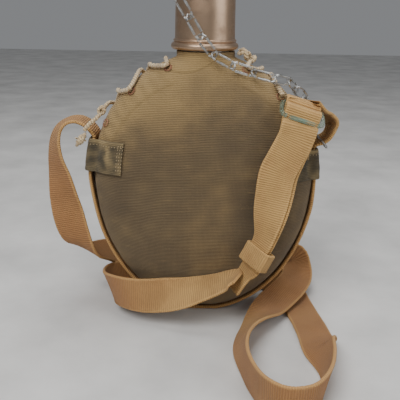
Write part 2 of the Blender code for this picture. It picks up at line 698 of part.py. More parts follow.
def riser_top_rows():
    """Under the front bar, in a loose fold over the middle bar and back under it."""
    side = -SLIDE_ALONG
    bar = SLIDE_BAR_SPACING
    places = [(-1.0, -3.6), (3.2, -3.6), (6.4, 1.0), (bar - 1.8, 4.4), (bar + 1.6, 4.0),
              (bar + 3.8, 0.8), (bar + 2.4, -3.2), (bar - 3.5, -6.0), (1.0, -6.4)]
    return [(slide_point(*place), side, WEBBING_WIDTH) for place in places]


# From the right keeper in a short loop up to the slide's far bar.
RIGHT_LOOP_ROUTE = [
    ((89.5, 0, 142.3), (0, 1, 0)), ((89.3, 0, 146), (0, 1, 0)), ((91.8, 0, 148.6), (0, 1, 0)),
    ((96.8, 0.3, 150), (0, 1, 0)),
    ((101.8, 0.5, 153.5), (0, 1, 0)), ((104.2, 0.5, 159), (-0.05, 1, 0)),
    ((103.8, -0.5, 166), (-0.2, 0.95, 0.1)), ((100, -3.5, 172), (-0.45, 0.85, 0.2)),
    ((93, -8.5, 176.5), (-0.7, 0.62, 0.25)), ((85.5, -15.5, 180), (-0.88, 0.35, 0.28)),
]


def right_loop_top_rows():
    """Hooked over the far bar of the slide."""
    side = -SLIDE_ALONG
    bar = 2 * SLIDE_BAR_SPACING
    places = [(bar + 4.8, 3.4), (bar + 0.8, 4.3), (bar - 3.2, 2.6), (bar - 3.6, -1.4)]
    return [(slide_point(*place), side) for place in places]


def make_edge_band(webbing):
    """The stretch of webbing held by the keepers, close round the edge and under the foot."""
    off = GAP + WEBBING_THICKNESS / 2
    left = math.asin((BAND_TOP_LEFT_Z - MIDDLE_Z) / UPPER_HEIGHT)
    right = math.asin((BAND_TOP_RIGHT_Z - MIDDLE_Z) / UPPER_HEIGHT)
    steps = 44
    rows = []
    for i in range(steps + 1):
        angle = math.pi + (-left) + (math.pi + left + right) * i / steps
        c = math.cos(angle)
        s = math.sin(angle)
        height = UPPER_HEIGHT if s > 0 else LOWER_HEIGHT
        outward = Vector((c / HALF_WIDTH, 0.0, s / height)).normalized()
        point = Vector((HALF_WIDTH * c, 0.0, MIDDLE_Z + height * s)) + outward * off
        point.z = max(point.z, WEBBING_THICKNESS / 2)
        rows.append((point, (0, 1, 0)))
    add_object("sling_edge_band", ribbon("sling_edge_band", rows, per_span=1), webbing)


def make_webbing(webbing):
    make_edge_band(webbing)
    add_object("sling_strap", ribbon("sling_strap", SLING_ROUTE, per_span=2), webbing)
    riser = [*doubled_layer(1), *riser_top_rows(), *reversed(doubled_layer(-1)), *TAIL_END]
    add_object("sling_riser", ribbon("sling_riser", riser, per_span=3), webbing)
    right = ribbon("sling_right_loop", RIGHT_LOOP_ROUTE + right_loop_top_rows(), per_span=3)
    add_object("sling_right_loop", right, webbing)


STRAP_KEEPER_CENTRE = (44.2, -47.5, 65.0)
STRAP_KEEPER_ALONG = (0.44, 0.05, 0.9)
STRAP_KEEPER_ACROSS = (-0.62, 0.72, 0.3)


def make_strap_keeper(webbing):
    """A sewn loop of webbing round both layers of the strap, free to slide along them."""
    centre = Vector(STRAP_KEEPER_CENTRE)
    along = Vector(STRAP_KEEPER_ALONG).normalized()
    side = Vector(STRAP_KEEPER_ACROSS)
    side = (side - along * side.dot(along)).normalized()
    out = along.cross(side)
    inner_half_width = 10.4
    inner_half_depth = 3.9
    wall = 2.0
    height = 16.0
    rings = []
    for grow in (0.0, wall):
        half_width = inner_half_width + grow
        half_depth = inner_half_depth + grow
        outline = []
        for sx, sy in ((-1, -1), (1, -1), (1, 1), (-1, 1)):
            corner = centre + side * sx * (half_width - 1.6) + out * sy * (half_depth - 1.6)
            for i in range(4):
                angle = math.atan2(sy, sx) + math.radians((i - 1.5) * 30)
                outline.append(corner + (side * math.cos(angle) + out * math.sin(angle)) * 1.6)
        for end in (-1, 1):
            ring = [point + along * end * height / 2 for point in outline]
            rings.append(ring)
    order = [rings[0], rings[1], rings[3], rings[2]]
    sections = [[ring[i] for ring in order] for i in range(len(order[0]))]
    keeper = add_object("strap_keeper", loft("strap_keeper", sections, closed=True), webbing, centre)
    return keeper


def make_slide(brass):
    """Rounded wire frame with a bar across its middle."""
    middle = slide_point(SLIDE_BAR_SPACING, 0.0)
    corner = SLIDE_CORNER_RADIUS
    path = []
    for sx, sy in ((1, 1), (-1, 1), (-1, -1), (1, -1)):
        centre = middle + SLIDE_ALONG * sx * (SLIDE_HALF_LENGTH - corner)
        centre = centre + SLIDE_ACROSS * sy * (SLIDE_BAR_SPACING - corner)
        for i in range(4):
            angle = math.atan2(sy, sx) + math.radians((i - 1.5) * 30)
            outward = SLIDE_ALONG * math.cos(angle) + SLIDE_ACROSS * math.sin(angle)
            path.append(centre + outward * corner)
    frame = add_object("strap_slide", wire_loop("strap_slide", path, SLIDE_WIRE_RADIUS, 8), brass)
    turns = [math.tau * i / 8 for i in range(8)]
    bar_radius = SLIDE_WIRE_RADIUS * 0.95
    round_bar = [(SLIDE_ACROSS * math.cos(turn) + SLIDE_OUT * math.sin(turn)) * bar_radius for turn in turns]
    rings = []
    for end in (-1, 1):
        centre = middle + SLIDE_ALONG * end * SLIDE_HALF_LENGTH
        rings.append([centre + offset for offset in round_bar])
    bar = add_object("bar", loft("bar", rings), brass)
    combine(frame, bar, "UNION")


# ---------------------------------------------------------------- assembly

def main():
    clear_scene()
    aluminium = make_material("aluminium", (0.62, 0.62, 0.60), 0.45, 1.0)
    copper = make_material("copper_brown_metal", (0.52, 0.38, 0.30), 0.38, 1.0)
    verdigris = make_material("verdigris_brass", (0.36, 0.47, 0.38), 0.65, 0.4)
    brass = make_material("old_brass", (0.45, 0.26, 0.17), 0.6, 0.7)
    steel = make_material("galvanised_steel", (0.72, 0.73, 0.71), 0.4, 1.0)
    cork = make_material("cork", (0.55, 0.38, 0.22), 0.9)
    canvas = make_material("canvas", (0.23, 0.18, 0.11), 0.95)
    webbing = make_material("webbing", (0.55, 0.38, 0.20), 0.9)
    lace = make_material("lace", (0.66, 0.52, 0.32), 0.9)
    make_flask(aluminium)
    make_cover(canvas)
    make_cap(copper, cork, brass)
    make_swivel(brass)
    make_chain(steel)
    make_eyelets(brass)
    make_lacing(lace)
    make_keeper("cover_keeper_left", -1, KEEPER_LEFT_Z, canvas)
    make_keeper("cover_keeper_right", 1, KEEPER_RIGHT_Z, canvas)
    make_webbing(webbing)
    make_strap_keeper(webbing)
    make_slide(verdigris)


main()
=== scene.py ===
import math

import bmesh
import bpy
from mathutils import Matrix, Vector, noise


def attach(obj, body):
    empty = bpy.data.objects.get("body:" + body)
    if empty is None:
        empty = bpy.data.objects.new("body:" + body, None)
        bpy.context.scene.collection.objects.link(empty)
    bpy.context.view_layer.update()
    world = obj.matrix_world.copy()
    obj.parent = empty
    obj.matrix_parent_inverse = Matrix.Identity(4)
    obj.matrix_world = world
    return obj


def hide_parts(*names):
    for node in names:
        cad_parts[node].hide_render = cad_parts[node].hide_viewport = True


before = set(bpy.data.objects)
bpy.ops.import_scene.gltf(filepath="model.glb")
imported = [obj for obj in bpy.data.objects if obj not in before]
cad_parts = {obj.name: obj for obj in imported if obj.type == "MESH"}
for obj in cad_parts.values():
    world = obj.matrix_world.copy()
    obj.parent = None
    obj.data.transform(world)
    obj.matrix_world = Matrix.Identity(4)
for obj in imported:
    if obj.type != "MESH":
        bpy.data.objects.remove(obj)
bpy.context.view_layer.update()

MM = 0.001

# ---------------------------------------------------------------- camera, floor and light

PITCH = math.radians(18.0)
ROLL = math.radians(1.04)


def make_camera():
    forward = Vector((0.0, math.cos(PITCH), -math.sin(PITCH)))
    level = Vector((1.0, 0.0, 0.0))
    above = level.cross(forward)
    right = level * math.cos(ROLL) + above * math.sin(ROLL)
    up = above * math.cos(ROLL) - level * math.sin(ROLL)
    data = bpy.data.cameras.new("camera")
    data.lens = 54.0
    data.sensor_width = 36.0
    data.clip_start = 0.01
    camera = bpy.data.objects.new("camera", data)
    turn = Matrix((right, up, -forward)).transposed().to_4x4()
    camera.matrix_world = Matrix.Translation((-0.00154, -0.4861, 0.2538)) @ turn
    bpy.context.collection.objects.link(camera)
    bpy.context.scene.camera = camera


def make_light(name, place, target, size, power):
    data = bpy.data.lights.new(name, "AREA")
    data.size = size
    data.energy = power
    lamp = bpy.data.objects.new(name, data)
    lamp.location = place
    lamp.rotation_euler = (Vector(target) - Vector(place)).to_track_quat("-Z", "Y").to_euler()
    bpy.context.collection.objects.link(lamp)


def make_studio():
    world = bpy.data.worlds.new("studio")
    world.use_nodes = True
    world.node_tree.nodes["Background"].inputs["Color"].default_value = (0.75, 0.77, 0.8, 1.0)
    world.node_tree.nodes["Background"].inputs["Strength"].default_value = 0.30
    bpy.context.scene.world = world
    make_light("key", (-0.35, -0.75, 0.95), (0.0, 0.0, 0.12), 0.6, 11.0)
    make_light("fill", (0.9, -0.5, 0.55), (0.0, 0.0, 0.12), 0.8, 4.0)
    make_light("top", (0.05, 0.15, 1.1), (0.0, 0.0, 0.1), 0.7, 5.0)


# ---------------------------------------------------------------- node helpers

class Nodes:
    """Short calls for building a material."""

    def __init__(self, name):
        self.material = bpy.data.materials.new(name)
        self.material.use_nodes = True
        self.tree = self.material.node_tree
        self.shader = self.tree.nodes["Principled BSDF"]
        self.place = self.tree.nodes.new("ShaderNodeTexCoord").outputs["Object"]

    def put(self, target, value):
        if isinstance(value, bpy.types.NodeSocket):
            self.tree.links.new(value, target)
        elif isinstance(value, tuple) and len(value) == 3 and target.type == "RGBA":
            target.default_value = (*value, 1.0)
        else:
            target.default_value = value

    def math(self, operation, a, b=0.0, clamp=False):
        node = self.tree.nodes.new("ShaderNodeMath")
        node.operation = operation
        node.use_clamp = clamp
        self.put(node.inputs[0], a)
        self.put(node.inputs[1], b)
        return node.outputs[0]

    def mix(self, factor, a, b):
        node = self.tree.nodes.new("ShaderNodeMix")
        node.data_type = "RGBA"
        self.put(node.inputs["Factor"], factor)
        self.put([s for s in node.inputs if s.name == "A" and s.type == "RGBA"][0], a)
        self.put([s for s in node.inputs if s.name == "B" and s.type == "RGBA"][0], b)
        return [s for s in node.outputs if s.type == "RGBA"][0]

    def noise(self, scale, detail=3.0, roughness=0.55, vector=None, stretch=None):
        vector = self.place if vector is None else vector
        if stretch:
            mapping = self.tree.nodes.new("ShaderNodeMapping")
            mapping.inputs["Scale"].default_value = stretch
            self.put(mapping.inputs["Vector"], vector)
            vector = mapping.outputs["Vector"]
        node = self.tree.nodes.new("ShaderNodeTexNoise")
        node.inputs["Scale"].default_value = scale
        node.inputs["Detail"].default_value = detail
        node.inputs["Roughness"].default_value = roughness
        self.put(node.inputs["Vector"], vector)
        return node.outputs["Fac"]

    def spread(self, value, low, high):
        node = self.tree.nodes.new("ShaderNodeMapRange")
        node.interpolation_type = "SMOOTHSTEP"
        self.put(node.inputs["Value"], value)
        node.inputs["From Min"].default_value = low
        node.inputs["From Max"].default_value = high
        return node.outputs["Result"]

    def axis(self, letter, vector=None):
        node = self.tree.nodes.new("ShaderNodeSeparateXYZ")
        self.put(node.inputs[0], self.place if vector is None else vector)
        return node.outputs["XYZ".index(letter)]

    def uv(self, letter):
        node = self.tree.nodes.new("ShaderNodeUVMap")
        node.uv_map = "UVMap"
        return self.axis(letter, node.outputs["UV"])

    def given(self, name):
        node = self.tree.nodes.new("ShaderNodeAttribute")
        node.attribute_name = name
        return node.outputs["Fac"]

    def ribs(self, value, period):
        wave = self.math("SINE", self.math("MULTIPLY", value, math.tau / period))
        return self.math("ADD", self.math("MULTIPLY", wave, 0.5), 0.5)

    def finish(self, colour, roughness, height=None, depth=0.0005, metallic=0.0, **constants):
        self.put(self.shader.inputs["Base Color"], colour)
        self.put(self.shader.inputs["Roughness"], roughness)
        self.shader.inputs["Metallic"].default_value = metallic
        for name, value in constants.items():
            self.shader.inputs[name.replace("_", " ")].default_value = value
        if height is not None:
            bump = self.tree.nodes.new("ShaderNodeBump")
            bump.inputs["Strength"].default_value = 1.0
            bump.inputs["Distance"].default_value = depth
            self.put(bump.inputs["Height"], height)
            self.tree.links.new(bump.outputs["Normal"], self.shader.inputs["Normal"])
        return self.material


def webbing_material(name, light, brown):
    """Ribbed cotton webbing. Its UV map holds the place across (0 to 1) and along, in metres."""
    n = Nodes(name)
    across = n.uv("X")
    along = n.uv("Y")
    ribs = n.ribs(along, 0.0017)
    threads = n.ribs(across, 1 / 24)
    weave = n.math("ADD", n.math("MULTIPLY", ribs, 0.7), n.math("MULTIPLY", n.math("MULTIPLY", ribs, threads), 0.5))
    fuzz = n.noise(1400.0, 3.0)
    weave = n.math("ADD", weave, n.math("MULTIPLY", fuzz, 0.5))
    edge = n.math("ABSOLUTE", n.math("SUBTRACT", across, 0.5))
    selvage = n.spread(edge, 0.42, 0.47)
    colour = n.mix(n.given("tone"), brown, light)
    blotch = n.spread(n.noise(38.0, 4.0, 0.6), 0.42, 0.72)
    colour = n.mix(n.math("MULTIPLY", blotch, 0.38), colour, tuple(c * 0.62 for c in brown))
    # Painted shade: the low places between ribs and threads are painted darker, as shade in the grooves of the
    # weave.
    painted_gap_shade = n.math("SUBTRACT", 1.0, weave, clamp=True)
    colour = n.mix(n.math("MULTIPLY", painted_gap_shade, 0.55), colour, tuple(c * 0.35 for c in brown))
    pale = tuple(min(1.0, c * 1.25) for c in light)
    colour = n.mix(n.math("MULTIPLY", selvage, 0.35), colour, pale)
    colour = n.mix(n.math("MULTIPLY", n.spread(fuzz, 0.55, 0.8), 0.18), colour, pale)
    return n.finish(colour, 0.92, weave, 0.0005, Sheen_Weight=0.06)


def canvas_material(name, base, worn, dark):
    """Finely ribbed canvas with stains and worn patches, which the mesh carries as attributes."""
    n = Nodes(name)
    wobble = n.math("MULTIPLY", n.noise(22.0, 2.0), 0.0035)
    height = n.math("ADD", n.axis("Z"), wobble)
    ribs = n.ribs(height, 0.0013)
    threads = n.ribs(n.axis("X"), 0.0010)
    fuzz = n.noise(900.0, 4.0, 0.65)
    streak = n.noise(60.0, 5.0, 0.7, stretch=(1.0, 1.0, 9.0))
    weave = n.math("ADD", n.math("MULTIPLY", ribs, 0.75), n.math("MULTIPLY", threads, 0.25))
    weave = n.math("ADD", weave, n.math("MULTIPLY", fuzz, 0.6))
    patch = n.noise(24.0, 6.0, 0.65)
    wear = n.math("ADD", n.given("wear"), n.math("MULTIPLY", n.math("SUBTRACT", patch, 0.5), 1.0))
    colour = n.mix(n.spread(wear, -0.15, 1.25), base, worn)
    stain = n.math("ADD", n.given("stain"), n.math("MULTIPLY", n.math("SUBTRACT", n.noise(11.0, 4.0), 0.5), 1.0))
    colour = n.mix(n.math("MULTIPLY", n.spread(stain, 0.25, 1.0), 0.8), colour, dark)
    colour = n.mix(n.math("MULTIPLY", n.spread(streak, 0.55, 0.75), 0.35), colour, worn)
    # Painted shade: the grooves between ribs and threads are painted darker, as shade in the weave.
    painted_gap_shade = n.math("SUBTRACT", 1.0, weave, clamp=True)
    colour = n.mix(n.math("MULTIPLY", painted_gap_shade, 0.55), colour, tuple(c * 0.35 for c in base))
    colour = n.mix(n.math("MULTIPLY", n.spread(fuzz, 0.58, 0.8), 0.30), colour, worn)
    return n.finish(colour, 0.95, weave, 0.0005, Sheen_Weight=0.08)


def metal_material(name, colour, tarnish, roughness, brushed=False, share=0.5, metallic=1.0):
    n = Nodes(name)
    spots = n.spread(n.noise(70.0, 6.0, 0.65), 0.42, 0.68)
    stretch = (0.6, 0.6, 60.0) if brushed else (1.0, 1.0, 1.0)
    lines = n.noise(30.0, 4.0, 0.7, stretch=stretch)
    shade = n.mix(n.math("MULTIPLY", spots, share), colour, tarnish)
    shade = n.mix(n.math("MULTIPLY", lines, 0.35), shade, tuple(c * 0.55 for c in colour))
    rough = n.math("ADD", roughness, n.math("MULTIPLY", spots, 0.22), clamp=True)
    height = n.math("ADD", n.math("MULTIPLY", lines, 0.5), n.math("MULTIPLY", n.noise(500.0, 2.0), 0.5))
    return n.finish(shade, rough, height, 0.00008 if brushed else 0.00015, metallic)


def cord_material(name, pale, brown):
    n = Nodes(name)
    twist = n.ribs(n.math("ADD", n.uv("Y"), n.math("MULTIPLY", n.uv("X"), 0.0022)), 0.0022)
    fuzz = n.noise(1200.0, 3.0)
    # Painted shade: the low grooves of the twist are painted brown, as shade between the strands.
    colour = n.mix(n.math("MULTIPLY", n.math("SUBTRACT", 1.0, twist), 0.7), pale, brown)
    colour = n.mix(n.math("MULTIPLY", n.spread(n.noise(120.0), 0.45, 0.7), 0.5), colour, brown)
    height = n.math("ADD", twist, n.math("MULTIPLY", fuzz, 0.6))
    return n.finish(colour, 0.95, height, 0.0007, Sheen_Weight=0.3)


def plain_material(name, colour, roughness, scale, metallic=0.0):
    n = Nodes(name)
    shade = n.mix(n.noise(scale, 4.0), tuple(c * 0.6 for c in colour), tuple(min(1.0, c * 1.2) for c in colour))
    return n.finish(shade, roughness, n.noise(scale * 4, 3.0), 0.0002, metallic)


# ---------------------------------------------------------------- shape helpers, in millimetres

def smooth_path(points, per_span):
    padded = [points[0] * 2 - points[1], *points, points[-1] * 2 - points[-2]]
    curve = []
    for i in range(1, len(padded) - 2):
        p0, p1, p2, p3 = padded[i - 1:i + 3]
        for step in range(per_span):
            t = step / per_span
            curve.append(0.5 * (2 * p1 + (p2 - p0) * t + (2 * p0 - 5 * p1 + 4 * p2 - p3) * t * t
                                + (3 * p1 - p0 - 3 * p2 + p3) * t ** 3))
    curve.append(points[-1])
    return curve


def tangents(path):
    ends = [path[0], *path, path[-1]]
    return [(ends[i + 2] - ends[i]).normalized() for i in range(len(path))]


def wobble(point, scale, amount, seed=0.0):
    return noise.noise_vector(point * scale + Vector((seed, seed * 1.7, seed * 0.3))) * amount


def build(name, rings, material, body, closed=False, ring_closed=True, uvs=None, tone=None, caps=True):
    """A skin over rings of points in millimetres, riding on a CAD body."""
    bm = bmesh.new()
    uv_layer = bm.loops.layers.uv.new("UVMap")
    rows = [[bm.verts.new(p * MM) for p in ring] for ring in rings]
    count = len(rows[0])
    spans = len(rows) if closed else len(rows) - 1
    columns = count if ring_closed else count - 1
    for i in range(spans):
        lower = rows[i]
        upper = rows[(i + 1) % len(rows)]
        for j in range(columns):
            k = (j + 1) % count
            face = bm.faces.new((lower[j], lower[k], upper[k], upper[j]))
            if uvs:
                for loop, (a, b) in zip(face.loops, ((i, j), (i, j + 1), (i + 1, j + 1), (i + 1, j))):
                    loop[uv_layer].uv = uvs(a, b)
    if not closed and caps:
        bm.faces.new(list(reversed(rows[0])))
        bm.faces.new(rows[-1])
    bmesh.ops.recalc_face_normals(bm, faces=bm.faces)
    mesh = bpy.data.meshes.new(name)
    bm.to_mesh(mesh)
    bm.free()
    if tone:
        layer = mesh.attributes.new("tone", "FLOAT", "POINT")
        layer.data.foreach_set("value", [tone(v.co / MM) for v in mesh.vertices])
    mesh.shade_smooth()
    mesh.set_sharp_from_angle(angle=math.radians(50))
    mesh.materials.append(material)
    item = bpy.data.objects.new(name, mesh)
    bpy.context.collection.objects.link(item)
    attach(item, body)
    return item


def strap_section(width, thickness):
    """Outline of webbing: flat faces with a small thickened selvage and rounded edges."""
    columns = 14
    half = width / 2 - thickness / 2
    top = []
    for i in range(columns + 1):
        x = -half + 2 * half * i / columns
        swell = 0.12 if i in (0, columns) else 0.0
        top.append((x, thickness / 2 + swell))
    right = [(half + thickness / 2 * math.cos(a), thickness / 2 * math.sin(a)) for a in (0.8, 0.0, -0.8)]
    bottom = [(x, -y) for x, y in reversed(top)]
    left = [(-x, -y) for x, y in right]
    return [*top, *right, *bottom, *left]


def strap(name, rows, material, body="canteen", width=28.0, thickness=2.4, step=1.6, tone=None, ragged=False):
    """Webbing along a route, never dipping into the floor. Returns the piece and its middle line."""
    per_span = 10
    route = smooth_path([Vector(row[0]) for row in rows], per_span)
    across = smooth_path([Vector(row[1]).normalized() for row in rows], per_span)
    widths = smooth_path([Vector((row[2] if len(row) > 2 else width, 0.0)) for row in rows], per_span)
    kept = [0]
    walked = [0.0]
    for i in range(1, len(route)):
        gone = (route[i] - route[kept[-1]]).length
        if gone >= step or i == len(route) - 1:
            kept.append(i)
            walked.append(walked[-1] + gone)
    lines = tangents(route)
    rings = []
    middle = []
    frames = []
    lows = []
    for i in kept:
        side = (across[i] - lines[i] * across[i].dot(lines[i])).normalized()
        out = lines[i].cross(side)
        frames.append((side, out))
        lows.append(abs(side.z) * widths[i].x / 2 + abs(out.z) * thickness / 2)
    lifts = [max(0.0, low - route[i].z) for i, low in zip(kept, lows)]
    lifts = [max(lifts[max(0, k - 3):k + 4]) for k in range(len(lifts))]
    lifts = [sum(lifts[max(0, k - 4):k + 5]) / len(lifts[max(0, k - 4):k + 5]) for k in range(len(lifts))]
    for i, (side, out), lift in zip(kept, frames, lifts):
        along = lines[i]
        outline = strap_section(widths[i].x, thickness)
        point = route[i] + Vector((0.0, 0.0, lift))
        middle.append(point * MM)
        ring = []
        for x, y in outline:
            place = point + side * x + out * y
            place += wobble(place, 0.05, 0.25, 3.0)
            if ragged and i in kept[-2:]:
                place += along * (2.0 * noise.noise(Vector((x * 1.7, y, 0.5))))
            place.z = max(place.z, 0.02)
            ring.append(place)
        rings.append(ring)
    outline = strap_section(width, thickness)
    shares = [x / width + 0.5 for x, _ in outline]
    shares.append(shares[0])

    def uvs(a, b):
        return shares[b], walked[min(a, len(walked) - 1)] * MM

    piece = build(name, rings, material, body, uvs=uvs, tone=tone or (lambda p: 1.0))
    return piece, middle


def round_cord(name, points, radius, material, body="canteen", sides=10, lumps=0.25, step=0.6):
    """A twisted cord along a route."""
    fine = smooth_path([Vector(p) for p in points], 14)
    path = [fine[0]]
    walked = [0.0]
    for p in fine[1:]:
        gone = (p - path[-1]).length
        if gone >= step:
            path.append(p)
            walked.append(walked[-1] + gone)
    rings = []
    normal = Vector((0.31, 0.2, 0.93))
    for i, (point, along) in enumerate(zip(path, tangents(path))):
        normal = (normal - along * normal.dot(along)).normalized()
        other = along.cross(normal)
        ring = []
        for j in range(sides):
            angle = math.tau * j / sides
            swell = 1 + lumps * 0.5 * math.cos(3 * angle + walked[i] * 1.5)
            size = radius * swell * (1 + 0.15 * noise.noise(point * 0.6))
            ring.append(point + (normal * math.cos(angle) + other * math.sin(angle)) * size)
        rings.append(ring)

    def uvs(a, b):
        return b / sides, walked[min(a, len(walked) - 1)] * MM

    return build(name, rings, material, body, uvs=uvs)


# ---------------------------------------------------------------- sizes, in millimetres

GAP = 0.3
HALF_WIDTH = 90.3
HALF_DEPTH = 36.0
MIDDLE_Z = 121.5
LOWER_HEIGHT = 119.9
UPPER_HEIGHT = 95.5
FOOT_Z = 2.8
COLLAR_TOP_Z = 220.0
COLLAR_RADIUS = 22.6
EDGE_POWER = 2.8
RIM_Z = 220.8
CAP_TOP_Z = 281.4
CAP_RADIUS = 23.5
CAP_TOP_RADIUS = 22.8
CAP_WALL = 0.9
RIVET_HOLE_RADIUS = 2.1
WEBBING_WIDTH = 28.0
WEBBING_THICKNESS = 2.4
BAND_TOP_LEFT_Z = 146.0
BAND_TOP_RIGHT_Z = 138.0
KEEPER_LEFT_Z = (125.0, 151.0)
KEEPER_RIGHT_Z = (121.0, 145.5)
KEEPER_THICKNESS = 1.3
KEEPER_STAND_OFF = GAP + 2.4 + 0.7
KEEPER_REACH = math.radians(52)
LACE_RADIUS = 1.6
EYELET_THICKNESS = 0.9
SLIDE_BAR_SPACING = 10.5
SLIDE_ORIGIN = Vector((73.2, -45.0, 173.5))
SLIDE_ALONG = Vector((0.957, 0.0, -0.29)).normalized()
SLIDE_ACROSS = Vector((0.12, 0.93, 0.34)).normalized()
SLIDE_OUT = SLIDE_ALONG.cross(SLIDE_ACROSS).normalized()


# ---------------------------------------------------------------- shape of the covered body

def body_section(z, inset=0.0):
    """Half width, half depth and roundness of the body at a height, shrunk by an inset."""
    reach = (UPPER_HEIGHT if z > MIDDLE_Z else LOWER_HEIGHT) - inset
    u = min(1.0, abs(z - MIDDLE_Z) / reach)
    width = (HALF_WIDTH - inset) * math.sqrt(max(0.0, 1 - u * u))
    depth = (HALF_DEPTH - inset) * max(0.0, 1 - u ** 3) ** (1 / EDGE_POWER)
    power = EDGE_POWER
    if z > MIDDLE_Z:
        neck = COLLAR_RADIUS - inset
        width = (width ** 6 + neck ** 6) ** (1 / 6)
        depth = (depth ** 6 + neck ** 6) ** (1 / 6)
        power = EDGE_POWER - (EDGE_POWER - 2.0) * max(0.0, u) ** 8
    return width, depth, power


def section_point(z, angle, inset=0.0):
    width, depth, power = body_section(z, inset)
    c = math.cos(angle)
    s = math.sin(angle)
    x = math.copysign(abs(c) ** (2 / power), c) * width
    y = math.copysign(abs(s) ** (2 / power), s) * depth
    return Vector((x, y, z))


def cover_depth(x, z):
    """Distance of the cover's surface from the middle plane at a place seen from the front."""
    width, depth, power = body_section(z)
    return depth * max(0.0, 1 - (abs(x) / width) ** power) ** (1 / power)


def surface_frame(x, z, side):
    """A point of the cover's surface and the outward direction there."""
    y = side * cover_depth(x, z)
    step = 0.5
    slope_x = side * (cover_depth(x + step, z) - cover_depth(x - step, z)) / (2 * step)
    slope_z = side * (cover_depth(x, z + step) - cover_depth(x, z - step)) / (2 * step)
    normal = Vector((-slope_x, 1.0, -slope_z)) * side
    return Vector((x, y, z)), normal.normalized()


# ---------------------------------------------------------------- lacing routes

FRONT_EYELETS = [
    (-27.5, 207.5), (-55.5, 189.5), (-76.5, 164.0), (31.5, 206.5), (58.0, 187.0), (79.5, 158.0),
]
BACK_EYELETS = [
    (-47.5, 195.5), (-71.0, 172.5), (-80.8, 155.4), (49.5, 193.5), (73.0, 168.0), (81.5, 151.0),
]
LACE_LIFT = LACE_RADIUS + GAP + 0.9


def ridge_height(x):
    return MIDDLE_Z + UPPER_HEIGHT * math.sqrt(1 - (x / HALF_WIDTH) ** 2)


def over_the_edge(start, end, side):
    """Points that carry the lace from one face of the cover over its top edge to the other face."""
    middle_x = start[0] + (end[0] - start[0]) * (0.72 if side < 0 else 0.28)
    slope = UPPER_HEIGHT * middle_x / HALF_WIDTH / math.sqrt(HALF_WIDTH ** 2 - middle_x ** 2)
    outward = Vector((slope, 0.0, 1.0)).normalized()
    up = []
    down = []
    for share in (0.5, 0.85):
        for (x, z), face, found in ((start, side, up), (end, -side, down)):
            place_x = x + (middle_x - x) * share
            place_z = z + (ridge_height(middle_x) - z) * share
            place_z = min(place_z, ridge_height(place_x) - 0.6)
            point, normal = surface_frame(place_x, place_z, face)
            found.append(point + normal * LACE_LIFT)
    top = Vector((middle_x, 0.0, ridge_height(middle_x))) + outward * LACE_LIFT
    return [*up, top, *reversed(down)]


def lace_route(start, stops, end):
    """Zigzag between eyelets of the front (-1) and the back (1), over the top edge each time."""
    points = [Vector(p) for p in start]
    for i, (place, side) in enumerate(stops):
        if i:
            points.extend(over_the_edge(stops[i - 1][0], place, stops[i - 1][1]))
        point, normal = surface_frame(*place, side)
        points.append(point + normal * (LACE_LIFT + EYELET_THICKNESS + 0.6))
    points.extend(Vector(p) for p in end)
    return points


LACE_LEFT_START = [(-30.0, -11.0, 214.5)]
LACE_LEFT_END = [
    (-77.5, 5.0, 176.5), (-81.0, -5.0, 172.5), (-84.0, -14.0, 168.0), (-90.0, -18.5, 163.0),
    (-94.0, -18.5, 158.0),
]
LACE_RIGHT_START = [(35.0, -13.0, 213.0)]
LACE_RIGHT_END = []
LACE_KNOTS = [
    ("lace_knot_left", (-97.0, -18.5, 150.5), (3.8, 3.8, 5.4)),
    ("lace_knot_right", (33.0, -8.5, 217.2), (5.2, 4.6, 3.4)),
]


# ---------------------------------------------------------------- keepers

def keeper_outline(z, grow):
    """Half ring of points round the right edge: along the cover, and straight across the webbing."""
    width, depth, power = body_section(z)
    half = WEBBING_WIDTH / 2 + 1.4
    start = math.asin(((half + 3.5) / depth) ** (power / 2))
    steps = 4
    face = []
    for i in range(steps + 1):
        angle = KEEPER_REACH + (start - KEEPER_REACH) * i / steps
        normal = Vector((math.cos(angle) / width, math.sin(angle) / depth, 0.0)).normalized()
        face.append(section_point(z, angle) + normal * (2 * GAP + grow))
    flat_x = width + KEEPER_STAND_OFF + grow
    across = [Vector((flat_x, y, z)) for y in (half + grow / 2, 0.0, -half - grow / 2)]
    mirrored = [Vector((p.x, -p.y, p.z)) for p in reversed(face)]
    return [*face, *across, *mirrored]


# ---------------------------------------------------------------- webbing routes

